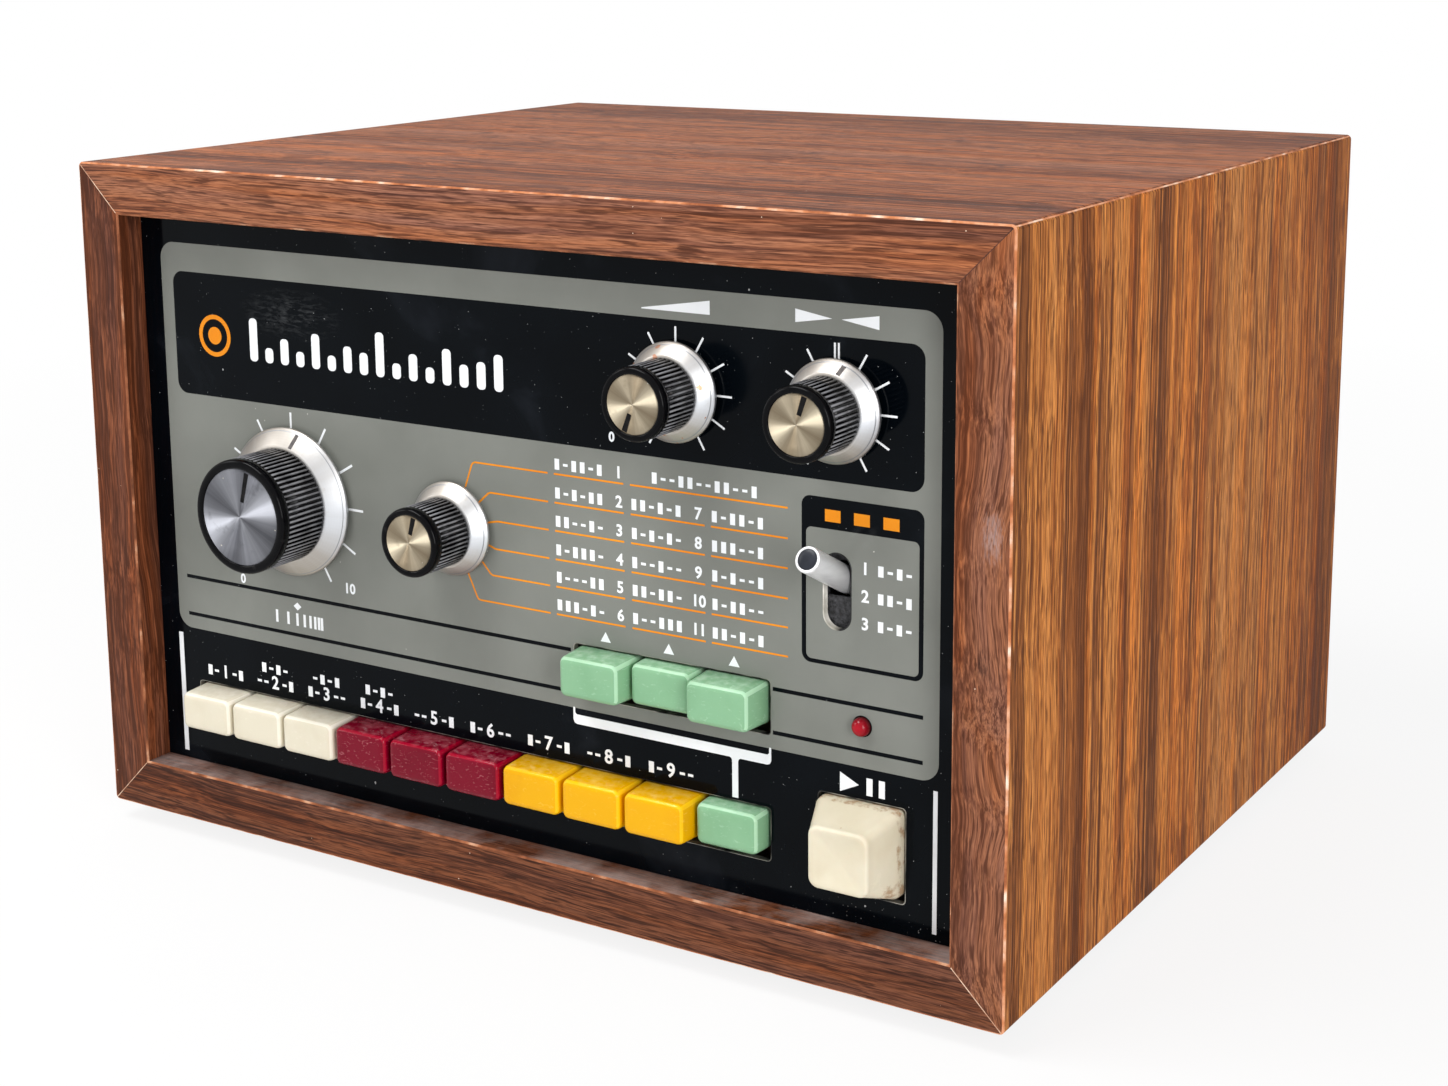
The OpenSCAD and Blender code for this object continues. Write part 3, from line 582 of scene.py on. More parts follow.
TEMPO, VOLUME, BALANCE, SELECTOR = (48.5, 72.5), (180.9, 26.8), (227.9, 26.8), (107.5, 72.5)
LAMP = (235.3, 106.8)
grey_shapes = [rounded_rect(0, 0, 256.7, 117.7, 5, 10), rounded_rect(4.5, 8.4, 252.1, 44.9, 3.7, 8),
               rounded_rect(217.9, 49.2, 252.2, 92.5, 2.5), rounded_rect(219.2, 57.2, 250.9, 91.4, 1.5),
               OPENINGS["upper_keys"], OPENINGS["toggle"], circle(*LAMP, 2.65), circle(*TEMPO, 3.75),
               circle(*SELECTOR, 3.75)]
for v in (101.5, 113.2):
    grey_shapes += [bar(3.9, v - 0.55, 146.1, v + 0.55), bar(209.3, v - 0.55, 252.3, v + 0.55)]
printed("grey_field", grey_shapes, 0.05, grey_ink)

white_shapes = []


def tick(at, angle, r0, r1, width=0.55, shift=0.0):
    s, c = math.sin(math.radians(angle)), math.cos(math.radians(angle))
    white_shapes.append(stroke([(at[0] + r * s + shift * c, at[1] - r * c + shift * s) for r in (r0, r1)], width))


def beats(u, v, tall, strong, step, width):
    """A row of beats from u on: a strong one is tall mm high on each side of v, and a weak one is flat."""
    for k, is_strong in enumerate(strong):
        half = tall if is_strong else 0.35
        white_shapes.append(bar(u + step * k, v - half, u + step * k + width, v + half))


for angle in range(-150, 151, 30):
    tick(TEMPO, angle, 20.6, 26.0, 0.7)
    tick(VOLUME, angle, 12.3, 16.8)
    if angle:
        tick(BALANCE, angle, 12.3, 16.75)
for shift in (-0.55, 0.55):
    tick(BALANCE, 0, 12.3, 16.75, 0.5, shift)
# the wedge over the volume dial, the two over the balance dial, and the quickening beats under the tempo dial
white_shapes += [[(170.6, 5.9), (191.3, 2.6), (191.3, 6.2), (170.6, 6.2)], [(226.6, 4.2), (216.2, 2.5), (216.2, 5.9)],
                 [(229.2, 4.2), (239.6, 2.5), (239.6, 5.9)],
                 [(48.0, 103.3), (49.5, 104.5), (48.0, 105.7), (46.5, 104.5)]]
u, step = 39.4, 4.4
while u < 57.4:
    white_shapes.append(bar(u, 106.6, u + 0.9, 110.4))
    u += step
    step *= 0.8
numbers = [("0", 27.0, 99.2, 2.7), ("10", 68.4, 96.2, 2.9), ("0", 160.6, 41.2, 2.5)]

# the beat grid: six rows of three cells, each a pattern of strong and weak beats over an orange rule
ROWS = [53.3, 61.2, 69.0, 76.9, 84.5, 92.2]
COLUMNS = [(141.7, 164.1), (166.3, 189.2), (191.1, 213.9)]
BEATS = [["x.xx.x", "x..xx..xx..x", ""], ["x.x.xx", "xx.x.x", "x.xx.x"], ["xx..x.", "x.x.x.", "xxx..x"],
         ["x.xxx.", "x..x..", "x.x..x"], ["x...xx", "xx.xx.", "x.xx.."], ["xxx.x.", "x..xxx", "xx.x.x"]]
for row, v in enumerate(ROWS):
    numbers.append((str(row + 1), 162.6, v - 2.75, 3.05))
    if row:
        numbers.append((str(row + 6), 187.2, v - 2.75, 3.05))
    for column, pattern in enumerate(BEATS[row]):
        inset = 6.8 if row == 0 and column == 1 else 0.3
        beats(COLUMNS[column][0] + inset, v - 2.75, 1.5, [mark == "x" for mark in pattern], 2.75, 1.5)
for u in (157.6, 177.7, 197.8):
    white_shapes.append([(u, 94.7), (u + 1.65, 97.5), (u - 1.65, 97.5)])

# the places beside the toggle and over the keys and the start key
for place, v in enumerate((66.1, 73.2, 80.3), 1):
    numbers.append((str(place), 236.0, v, 3.0))
    beats(239.6, v, 1.4, [k == 0 or (k + place) % 2 for k in range(4)], 2.6, 1.5)
for i in range(9):
    u = 17.9 + 20 * i
    numbers.append((str(i + 1), u, 129.8, 3.8))
    for side in (-1, 1):
        for off, strong in ((3.6, False), (6.2, (i + side) % 3)):
            beats(u + side * off - 0.8, 129.8, 1.55, [strong], 0, 1.6)
    if 1 <= i <= 3:
        beats(u - 5.0, 125.4, 1.45, [(k + i) % 2 for k in range(4)], 2.8, 1.6)
white_shapes += [[(229.0, 119.9), (234.4, 122.5), (229.0, 125.1)], bar(236.6, 120.2, 238.3, 124.8),
                 bar(240.1, 120.2, 241.8, 124.8)]
# the bracket that ties the upper keys to the tenth lower key, and the two upright rules
white_shapes.append([(146.5, 117.5), (147.1, 117.5), (147.1, 119.0), (147.6, 119.5), (207.7, 119.5), (208.2, 119.0),
                     (208.2, 117.5), (208.8, 117.5), (208.8, 121.0), (208.4, 121.9), (207.6, 122.2), (199.6, 122.2),
                     (199.0, 122.5), (198.8, 123.1), (198.8, 133.1), (197.0, 133.1), (197.0, 123.1), (196.8, 122.5),
                     (196.2, 122.2), (147.7, 122.2), (146.9, 121.9), (146.5, 121.0)])
white_shapes += [bar(-0.7, 119.8, 1.0, 157.5), bar(255.3, 119.8, 256.5, 157.5)]
# the bar pattern that fills the wide place at the upper left
for k, tall in enumerate((1, 0.35, 0.6, 0.35, 0.8, 0.35, 0.6, 0.5, 1, 0.35, 0.6, 0.35, 0.8, 0.5, 0.6, 0.8)):
    u = 34.0 + 5.9 * k
    white_shapes.append(rounded_rect(u, 32.8 - 12.6 * tall, u + 3.0, 32.8, 1.2, 4))
printed("white_scales", white_shapes, 0.08, white_ink, numbers)

# the selector's lead to each row, the rules, two rings, and a square over each place of the toggle
LEADS = [((111.6, 60.6), (113.9, 54.3), (114.3, 53.7), (115.1, 53.3)), ((116.2, 64.4), (119.4, 61.5), (120.2, 61.2)),
         ((118.7, 69.8), (121.9, 69.1), (122.6, 69.0)), ((118.9, 76.0), (121.2, 76.8), (121.9, 76.9)),
         ((116.2, 80.5), (119.5, 84.1), (120.3, 84.5)), ((111.6, 84.8), (114.6, 91.3), (115.1, 92.0), (115.9, 92.2))]
orange_shapes = [circle(20.3, 26.6, r) for r in (6.2, 4.9, 2.6)]
orange_shapes += [bar(u, 52.2, u + 4.4, 55.3) for u in (224.6, 232.8, 241.0)]
for row, (lead, v) in enumerate(zip(LEADS, ROWS)):
    orange_shapes.append(stroke([*lead, (139.6, v)], 0.5))
    for u0, u1 in (COLUMNS if row else [COLUMNS[0], (166.2, 213.9)]):
        orange_shapes.append(bar(u0, v - 0.25, u1, v + 0.25))
printed("orange_guides", orange_shapes, 0.08, orange_ink)

# ---------------------------------------------------------------- dials
# Each dial is a black moulded barrel with pressed-in flutes, on a spun aluminium skirt, with a turned disc let
# into its front. The disc has a black-filled groove for a pointer. Grub screws hold the dial on its shaft.
SKIRT_TOP, SKIRT_WALL, SKIRT_FOOT = 6.0, 0.9, 1.5
DISC_SINK, DISC_T = 0.35, 0.9
BORE_R, SKIRT_BORE_R, SOCKET_H = 3.0, 3.4, 5.0
FLUTE_DEPTH, RING_H = 0.28, 2.8
MARK_PROUD = 0.06
ON_AXIS = 0.0001


def fluted(name, at, valley, crest):
    """Black moulding, dark in the valleys of the flutes (radius in metres) and painted pale towards their crests as a
    painted highlight.
    """
    finish, tree, shader, coords = new_finish(name, {"IOR": 1.22})
    clouds = noise(tree, coords, 160, 3)
    out = spread(tree, distance(tree, coords, on_panel(*at), (1, 0, 1)), 0.0, 1.0, valley, crest)
    # pale crests: a painted highlight, broken up by clouds
    crest_highlight = calc(tree, "MULTIPLY", out, spread(tree, clouds, 0.55, 1.0, 0.3, 0.6))
    feed(tree, shader, Base_Color=ramp(tree, crest_highlight, [(0.4, srgb(4, 4, 5)), (1.0, srgb(138, 138, 142))]),
         Roughness=spread(tree, clouds, 0.1, 0.24))
    return finish


def spun(name, low, high, rings, roughness, fan, at, worn_from, sheen_lobes, groove=0.0, rusty=0.0):
    """Aluminium turned on a lathe: fine rings round the dial's axis that spread each light into a fan. Its colour is
    painted lighter in fine radial rays and along some lobes, (degrees, strength) each, a painted fan of sheen; beyond
    worn_from it has nicks that carry painted glints; at the radius groove a darker line is painted as the shade of a
    groove, and rusty is the share of small rust spots."""
    finish, tree, shader, coords = new_finish(name, {"Metallic": 1.0, "Anisotropic": fan,
                                                     "Anisotropic Rotation": 0.25})
    centred = vector(tree, "SUBTRACT", coords, on_panel(*at))
    flat = vector(tree, "MULTIPLY", centred, (1, 0, 1))
    reach = vector(tree, "LENGTH", flat)
    way = vector(tree, "NORMALIZE", flat)
    turned = add_node(tree, "TexWave", {"Vector": centred, "Scale": rings, "Distortion": 1.0, "Detail": 3.0,
                                        "Detail Scale": 2.0}, wave_type="RINGS", rings_direction="Y").outputs["Fac"]
    # painted sheen: the colour is painted lighter in fine radial rays and along the lobes
    light = spread(tree, noise(tree, way, 9, 4, Roughness=0.6), -0.07, 0.07, 0.3, 0.7)
    for degrees, strength in sheen_lobes:
        axis = (math.cos(math.radians(degrees)), 0, math.sin(math.radians(degrees)))
        lean = vector(tree, "DOT_PRODUCT", way, axis)
        lean = calc(tree, "POWER", calc(tree, "MULTIPLY", lean, lean), 4.0)
        light = calc(tree, "MULTIPLY_ADD", lean, strength, light)
    colour = ramp(tree, light, [(0.0, srgb(*low)), (1.0, srgb(*high))])
    colour = mix(tree, mask(tree, noise(tree, coords, 260, 6), 0.6, 0.8, 0.6), colour, srgb(*low))
    # nicks near the edge with painted glints: near-white specks in the colour
    nick_glints = calc(tree, "MULTIPLY", flecks(tree, coords, 420, 0.11, 0.3, 3.0),
                 calc(tree, "GREATER_THAN", reach, worn_from))
    colour = mix(tree, nick_glints, colour, srgb(246, 240, 228))
    # painted shade of a groove: a darker line at the radius groove, where the shape has none
    colour = mix(tree, calc(tree, "COMPARE", reach, groove, 0.0001), colour, srgb(156, 158, 162))
    if rusty:
        colour = mix(tree, flecks(tree, coords, 230, 0.17, rusty, 6.5), colour, srgb(186, 140, 116))
    tangent = add_node(tree, "Tangent", direction_type="RADIAL", axis="Y").outputs[0]
    feed(tree, shader, Base_Color=colour, Tangent=tangent,
         Roughness=spread(tree, turned, roughness - 0.04, roughness + 0.05))
    bumped(tree, shader, turned, 0.000003)
    return finish


glossy_rim = mottled("glossy_rim", {"IOR": 1.17}, 300, 4, [(0.3, (5, 5, 7)), (0.66, (10, 10, 12)),
                                                           (0.8, (30, 29, 30))], (0.06, 0.18))
pointer_black = mottled("pointer_black", {"IOR": 1.15}, 500, 3, [(0.3, (10, 10, 12)), (0.8, (34, 32, 32))],
                        (0.25, 0.5))
mark_grey = mottled("mark_grey", {"IOR": 1.2, "Roughness": 0.4}, 500, 3, [(0.3, (70, 68, 72)),
                                                                          (0.8, (128, 122, 118))])


def turned_piece(name, at, profile, finish, body, node=None, steps=96):
    """A piece turned about an axis out of the panel, which may replace a node. profile is a closed loop of
    (radius, height over the panel) in mm."""
    verts = [on_panel(at[0] + r * s, at[1] - r * c, h) for s, c in round_steps(steps) for r, h in profile]
    piece = mesh_piece(name, verts, skin(steps, len(profile), joined=True), [finish], body, merge=True)
    if node:
        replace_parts(piece, node)


def rib_tree():
    """Geometry nodes: Count ribs of Length in a ring of Radius, each a twelve-sided rod let in by half."""
    group = bpy.data.node_groups.new("ring_of_ribs", "GeometryNodeTree")
    face = group.interface
    face.new_socket("Geometry", in_out="OUTPUT", socket_type="NodeSocketGeometry")
    sizes = {label: face.new_socket(label, in_out="INPUT", socket_type="NodeSocket" + kind).identifier
             for label, kind in (("Count", "Int"), ("Radius", "Float"), ("Rib Radius", "Float"), ("Length", "Float"),
                                 ("Finish", "Material"))}
    given, out, ring, rod, place, real, paint = (group.nodes.new(kind) for kind in (
        "NodeGroupInput", "NodeGroupOutput", "GeometryNodeMeshCircle", "GeometryNodeMeshCylinder",
        "GeometryNodeInstanceOnPoints", "GeometryNodeRealizeInstances", "GeometryNodeSetMaterial"))
    rod.inputs["Vertices"].default_value = 12
    for source, goal in ((given.outputs["Count"], ring.inputs["Vertices"]),
                         (given.outputs["Radius"], ring.inputs["Radius"]),
                         (given.outputs["Rib Radius"], rod.inputs["Radius"]),
                         (given.outputs["Length"], rod.inputs["Depth"]),
                         (ring.outputs[0], place.inputs["Points"]), (rod.outputs["Mesh"], place.inputs["Instance"]),
                         (place.outputs[0], real.inputs[0]), (real.outputs[0], paint.inputs["Geometry"]),
                         (given.outputs["Finish"], paint.inputs["Material"]), (paint.outputs[0], out.inputs[0])):
        group.links.new(source, goal)
    return group, sizes


ribs_group, ribs_sizes = rib_tree()


def ribs(name, at, count, radius, rib_r, low, high, finish, body):
    """The flutes of a dial, made by the tree above, then set on the dial's axis as a plain mesh."""
    holder = bpy.data.objects.new(name, bpy.data.meshes.new(name))
    scene.collection.objects.link(holder)
    grow = holder.modifiers.new("ribs", "NODES")
    grow.node_group = ribs_group
    for label, value in (("Count", count), ("Radius", radius / 1000), ("Rib Radius", rib_r / 1000),
                         ("Length", (high - low) / 1000), ("Finish", finish)):
        grow[ribs_sizes[label]] = value
    bpy.context.view_layer.update()
    mesh = bpy.data.meshes.new_from_object(holder.evaluated_get(bpy.context.evaluated_depsgraph_get()))
    holder.modifiers.clear()
    mesh.transform(Matrix.Translation(on_panel(*at, (low + high) / 2)) @ Matrix.Rotation(math.pi / 2, 4, "X"))
    mesh.name = name
    for polygon in mesh.polygons:
        polygon.use_smooth = len(polygon.vertices) == 4
    holder.data = mesh
    if finish.name not in mesh.materials:
        mesh.materials.append(finish)
    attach(holder, body)


def dial(name, at, angle, sizes, marked, rusty=0.0):
    """angle is where the pointer stands, in degrees clockwise, and marked is whether the skirt has a line too."""
    skirt_r, r, disc_r, height, count, disc_low, disc_high = sizes
    body = name + "_dial"
    core_r = r - FLUTE_DEPTH
    flute_top, disc_top = height - RING_H, height - DISC_SINK
    turned_piece(name + "_barrel_core", at, [
        (BORE_R, SKIRT_TOP), (core_r, SKIRT_TOP), (core_r, flute_top - 0.5), (r - 0.1, flute_top),
        (r + 0.1, flute_top + 0.3), (r + 0.1, height - 1.0), (r - 0.05, height - 0.5), (r - 0.35, height - 0.12),
        (r - 0.75, height), (disc_r + 0.5, height), (disc_r + 0.12, height - 0.12), (disc_r, disc_top),
        (disc_r, disc_top - DISC_T), (ON_AXIS, disc_top - DISC_T), (ON_AXIS, height - SOCKET_H),
        (BORE_R, height - SOCKET_H)], glossy_rim, body, name + "_barrel")
    rib_r = 0.3 * 2 * math.pi * core_r / count
    ribs(name + "_flutes", at, count, core_r, rib_r, SKIRT_TOP + 0.02, flute_top - 0.1,
         fluted(name + "_flute_painted_crests", at, core_r / 1000, (core_r + rib_r) / 1000), body)
    # the skirt: painted sheen along two lobes, and a painted groove shade near its rim
    sides = spun(name + "_skirt_painted_sheen", (182, 176, 168), (224, 227, 232), 500, 0.42, 0.3, at, 1.0,
                 [(-8, 0.9), (40, 0.5)], (skirt_r - 0.75) / 1000, rusty)
    turned_piece(name + "_skirt_turned", at, [
        (SKIRT_BORE_R, SKIRT_TOP - SKIRT_WALL), (r, SKIRT_TOP - SKIRT_WALL), (skirt_r - SKIRT_WALL, SKIRT_FOOT),
        (skirt_r - 0.15, SKIRT_FOOT), (skirt_r, SKIRT_FOOT + 0.15), (skirt_r, 2.3), (skirt_r - 0.12, 2.5),
        (skirt_r - 0.45, 2.85), (r + 0.9, SKIRT_TOP - 0.25), (r + 0.5, SKIRT_TOP - 0.02), (r + 0.1, SKIRT_TOP),
        (SKIRT_BORE_R, SKIRT_TOP)], sides, body, name + "_skirt")
    # the disc: painted sheen along two lobes, and painted glints on nicks near its edge
    face = spun(name + "_disc_painted_sheen", disc_low, disc_high, 900, 0.56, 1.0, at, 0.84 * disc_r / 1000,
                [(24, 0.95), (118, 0.45)])
    turned_piece(name + "_disc", at, [
        (ON_AXIS, disc_top - DISC_T), (disc_r - 0.02, disc_top - DISC_T), (disc_r - 0.02, disc_top - 0.2),
        (disc_r - 0.2, disc_top - 0.01), (disc_r * 0.66, disc_top), (disc_r * 0.33, disc_top), (ON_AXIS, disc_top)],
        face, body, name + "_cap")
    turn = Matrix.Translation(on_panel(*at)) @ Matrix.Rotation(math.radians(angle), 4, "Y")
    # each line: half width and radius at its inner and outer end, its base, and how high its two ends stand
    lines = [("pointer", pointer_black, 0.62, 0.76, 0.33 * disc_r, 0.96 * disc_r, disc_top - 0.05,
              disc_top + MARK_PROUD, disc_top + MARK_PROUD)]
    if marked:
        slope = (skirt_r - 0.45 - r - 0.9) / (SKIRT_TOP - 0.25 - 2.85)
        lines.append(("skirt_mark", mark_grey, 0.6, 0.6, r + 1.0, skirt_r - 0.8, 2.0,
                      SKIRT_TOP - 0.25 - 0.1 / slope + MARK_PROUD, 2.85 + 0.35 / slope + MARK_PROUD))
    for label, finish, half_in, half_out, r0, r1, base, high_in, high_out in lines:
        verts = [turn @ (Vector((x, -h, z)) / 1000) for h_in, h_out in ((base, base), (high_in, high_out))
                 for x, z, h in ((-half_in, r0, h_in), (half_in, r0, h_in), (half_out, r1, h_out),
                                 (-half_out, r1, h_out))]
        mesh_piece(f"{name}_{label}", verts, skin(2, 4), [finish], body, smooth=False)


# radius of the skirt, barrel and disc, height, number of flutes, and the disc's dark tone and the light tone of its
# painted sheen
LARGE = (21.9, 16.4, 14.0, 22.8, 70, (98, 99, 105), (216, 218, 226))
SMALL = (13.25, 9.5, 7.75, 20.4, 46, (158, 142, 118), (244, 232, 206))
dial("tempo", TEMPO, 14, LARGE, True)
dial("volume", VOLUME, -160, SMALL, False, 0.8)
dial("balance", BALANCE, 18, SMALL, True)
dial("selector", SELECTOR, 15, SMALL, False)

# ---------------------------------------------------------------- key caps
# Thirteen identical press-on caps moulded in four colours of shiny thermoplastic. They taper to the front, and the
# long flat stem behind each works a latching switch. A paler copy of each colour is painted along their edges, except
# underneath, as a painted highlight.
KEY_PROUD, KEY_LATCHED = 9.6, 5.2
KEY_HALF_W, KEY_HALF_H = 19.6 / 2, 12.2 / 2
KEY_EDGE_R, KEY_CORNER_R = 1.6, 1.9
KEY_LONG, KEY_DRAFT = 13.5, 0.55
KEY_PITCH = 20


def moulded(name, base, deep, pale, roughness=0.12, scuffed=0.2):
    """Shiny moulding: a faint cloud in the colour, scuffed scratches, and dust that lies on what faces up."""
    finish, tree, shader, coords = new_finish(name, {"IOR": 1.27, "Subsurface Weight": 0.03,
                                                     "Subsurface Scale": 0.001})
    base, deep, pale = srgb(*base), srgb(*deep), srgb(*pale)
    cloud = noise(tree, coords, 60, 5)
    colour = ramp(tree, cloud, [(0.3, deep), (0.5, base), (0.75, base)])
    scratch = drawn_out(tree, coords, (420, 300, 900), 4, (0.2, 0.9, 0.4), Distortion=1.6)
    colour = mix(tree, mask(tree, scratch, 0.6, 0.72, scuffed), colour, pale)
    colour = mix(tree, settled(tree, noise(tree, coords, 420, 4), 0.4, 0.75, 0.42), colour, pale)
    feed(tree, shader, Base_Color=colour,
         Roughness=spread(tree, cloud, roughness - 0.05, roughness + 0.08, 0.3, 0.7))
    bumped(tree, shader, cloud, 0.00006)
    return finish


# the moulding and its deeper cloud, the paler edge colour of the painted highlight and its cloud, scratches and dust,
# and how scuffed it is
mouldings = {}
for colour, base, deep, edge, deep_edge_highlight, pale, scuffed in (
        ("cream", (223, 215, 194), (217, 207, 184), (242, 236, 220), (236, 229, 210), (246, 242, 230), 0.2),
        ("burgundy", (118, 0, 30), (108, 0, 26), (158, 6, 40), (146, 2, 34), (190, 110, 120), 0.45),
        ("yellow", (232, 170, 0), (226, 160, 0), (250, 196, 22), (246, 188, 12), (252, 218, 110), 0.2),
        ("mint", (134, 180, 141), (127, 173, 134), (174, 216, 180), (166, 210, 172), (206, 236, 210), 0.2)):
    mouldings[colour] = [moulded(colour + "_moulding", base, deep, pale, 0.15, scuffed),
                         moulded(colour + "_edge", edge, deep_edge_highlight, pale)]


def cap(name, sections, finishes, body, node, stem, rim, corners):
    """A cap that replaces a node: a closed skin over sections of (middle u, middle v, half width, half height, corner
    radius, proud) in mm, on a stem of (half width, half height, near end, far end). The steps named in rim, and these
    steps of each upright corner, take the second finish, a paler copy painted on as a highlight, but not underneath."""
    verts, which = [], []
    for u, v, half_w, half_h, r, proud in sections:
        r = min(r, half_w * 0.999, half_h * 0.999)
        verts += [on_panel(a, b, proud)
                  for a, b in rounded_rect(u - half_w, v - half_h, u + half_w, v + half_h, r, 5)]
    n = len(verts) // len(sections)
    for k in range(len(sections) - 1):
        for i in range(n):
            # these edge faces, but not the lower side, take the paler finish: a painted highlight
            painted_highlight = k in rim or k < rim[0] and i % 6 in corners
            which.append(1 if painted_highlight and i not in range(8, 15) else 0)
    faces = skin(len(sections), n) + skin(2, 4, len(verts))
    u, v = sections[0][:2]
    half_u, half_v, near, far = stem
    verts += [on_panel(u + a * half_u, v + b * half_v, proud) for proud in (near, far)
              for a, b in ((-1, -1), (1, -1), (1, 1), (-1, 1))]
    piece = mesh_piece(name, verts, faces, finishes, body, which + [0] * (len(faces) - len(which)))
    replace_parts(piece, node)


def key(row, index, u, v, proud, finishes):
    half_w, half_h = KEY_HALF_W, KEY_HALF_H
    sections = [(u, v, half_w - 0.3, half_h - 0.3, KEY_CORNER_R - 0.3, proud - KEY_LONG),
                (u, v, half_w, half_h, KEY_CORNER_R, proud - KEY_LONG + 0.3),
                (u, v, half_w - 0.5, half_h - 0.5, KEY_CORNER_R, proud - KEY_EDGE_R)]
    for a in (math.pi / 2 * k / 5 for k in range(1, 6)):
        inset = KEY_EDGE_R * (1 - math.cos(a))
        sections.append((u, v, half_w - KEY_DRAFT - inset, half_h - KEY_DRAFT - inset,
                         max(KEY_CORNER_R - inset, 0.4), proud - KEY_EDGE_R + KEY_EDGE_R * math.sin(a)))
    sections.append((u, v, half_w - 2.9, half_h - 2.9, 0.3, proud))
    name = f"{row}_key_{index}"
    cap(f"{row}_cap_{index}", sections, finishes, name + "_body", name,
        (3, 2.2, proud - KEY_LONG + 0.1, proud - KEY_LONG - 20), (3, 4), (2, 3))


for i in range(3):
    key("upper", i + 1, 157.9 + KEY_PITCH * i, 105.8, KEY_LATCHED if i == 1 else KEY_PROUD, mouldings["mint"])
for i, colour in enumerate(["cream"] * 3 + ["burgundy"] * 3 + ["yellow"] * 3 + ["mint"]):
    key("lower", i + 1, 17.9 + KEY_PITCH * i, 140.3, KEY_LATCHED if i == 9 else KEY_PROUD, mouldings[colour])

# ---------------------------------------------------------------- start key
# A large cream cap like that of a calculator: upright at its root, then tapering on all sides to a dished
# front for the fingertip. Years of use left brown grime along its right side and lower edge.
START = (235.2, 138.3)
ROOT_HALF_W, ROOT_HALF_H, FRONT_HALF_W, FRONT_HALF_H = 12.0, 11.6, 8.55, 8.3
START_PROUD, TAPER_FROM, LIP_R, DISH = 12.8, 2.4, 1.0, 0.95


def aged(name, low, high):
    """Yellowed moulding, with grime where the right side and the lower edge meet, all round the root, and in
    small specks."""
    finish, tree, shader, coords = new_finish(name, {"IOR": 1.27, "Subsurface Weight": 0.06,
                                                     "Subsurface Scale": 0.002})
    cloud = noise(tree, coords, 70, 5)
    grime = noise(tree, coords, 330, 6, Roughness=0.7)
    right = spread(tree, along_axis(tree, coords, "X"), 0.0, 1.0, 0.1125, 0.1175)
    low_down = spread(tree, along_axis(tree, coords, "Z"), 0.0, 1.0, 0.045, 0.0335)
    root = spread(tree, along_axis(tree, coords, "Y"), 0.0, 0.94, PANEL_Y - 0.0052, PANEL_Y - 0.0025)
    edge = calc(tree, "MAXIMUM", calc(tree, "MULTIPLY", right, low_down), root)
    dirty = mask(tree, calc(tree, "MULTIPLY", grime, edge), 0.42, 0.56, 0.7)
    colour = ramp(tree, cloud, [(0.35, srgb(*low)), (0.6, srgb(*high))])
    colour = mix(tree, dirty, colour, srgb(158, 116, 76))
    colour = mix(tree, flecks(tree, coords, 300, 0.07, 0.16, 4.0), colour, srgb(176, 150, 116))
    feed(tree, shader, Base_Color=colour, Roughness=spread(tree, cloud, 0.16, 0.34))
    bumped(tree, shader, grime, 0.00003)
    return finish


aged_cream = aged("aged_cream_moulding", (214, 203, 177), (222, 213, 190))
# the same moulding painted paler for the rounded lip of the front: a painted highlight
aged_lip_highlight = aged("aged_cream_edge", (219, 209, 184), (227, 219, 197))
shoulder_w, shoulder_h, shoulder = ROOT_HALF_W - 0.5, ROOT_HALF_H - 0.48, TAPER_FROM + 1.0
sections = [(*START, ROOT_HALF_W - 0.4, ROOT_HALF_H - 0.4, 1.8, -3.2), (*START, ROOT_HALF_W, ROOT_HALF_H, 2.0, -2.8),
            (*START, ROOT_HALF_W, ROOT_HALF_H, 2.1, TAPER_FROM - 1.2),
            (*START, ROOT_HALF_W - 0.12, ROOT_HALF_H - 0.12, 2.2, TAPER_FROM)]
for t in (k / 5 for k in range(5)):
    sections.append((*START, shoulder_w + (FRONT_HALF_W - shoulder_w) * t,
                     shoulder_h + (FRONT_HALF_H - shoulder_h) * t, 2.4 + 0.3 * t,
                     shoulder + (START_PROUD - LIP_R - shoulder) * t))
for a in (math.pi / 2 * k / 5 for k in range(6)):
    inset = LIP_R * (1 - math.cos(a))
    sections.append((*START, FRONT_HALF_W - inset, FRONT_HALF_H - inset, 2.7 - inset * 0.6,
                     START_PROUD - LIP_R + LIP_R * math.sin(a)))
for s in (1 - k / 8.5 for k in range(1, 9)):
    sections.append((*START, (FRONT_HALF_W - LIP_R) * s, (FRONT_HALF_H - LIP_R) * s, 1.9 * s,
                     START_PROUD - DISH * (1 - s * s)))
cap("start_cap", sections, [aged_cream, aged_lip_highlight], "start_key_body", "start_key", (3.5, 3.5, -3.0, -17.2),
    (9, 10, 11, 12), ())

# ---------------------------------------------------------------- toggle
# A turned bright lever with a black plug pressed into its end. A grained black shutter slides behind the slot
# with it, so that no hole shows.
TILT = math.radians(27)
PIVOT = 8.5
REACH = (PIVOT + 15.5) / math.cos(TILT) - 0.5
PIN = (1.5, 8.1)
lever_bright, tree, shader, coords = new_finish("lever_bright", {"Metallic": 0.5, "IOR": 1.45, "Anisotropic": 0.3})
drawn_lines = drawn_out(tree, coords, (700, 60, 700), 3, (-TILT, 0, 0))
feed(tree, shader, Base_Color=ramp(tree, drawn_lines, [(0.3, srgb(238, 239, 241)), (0.7, srgb(250, 250, 252))]),
     Roughness=spread(tree, drawn_lines, 0.3, 0.38))
bumped(tree, shader, drawn_lines, 0.000002)
plug_black = mottled("plug_black", {"IOR": 1.3}, 400, 4, [(0.3, (30, 33, 40)), (0.7, (44, 47, 55))], (0.25, 0.4))
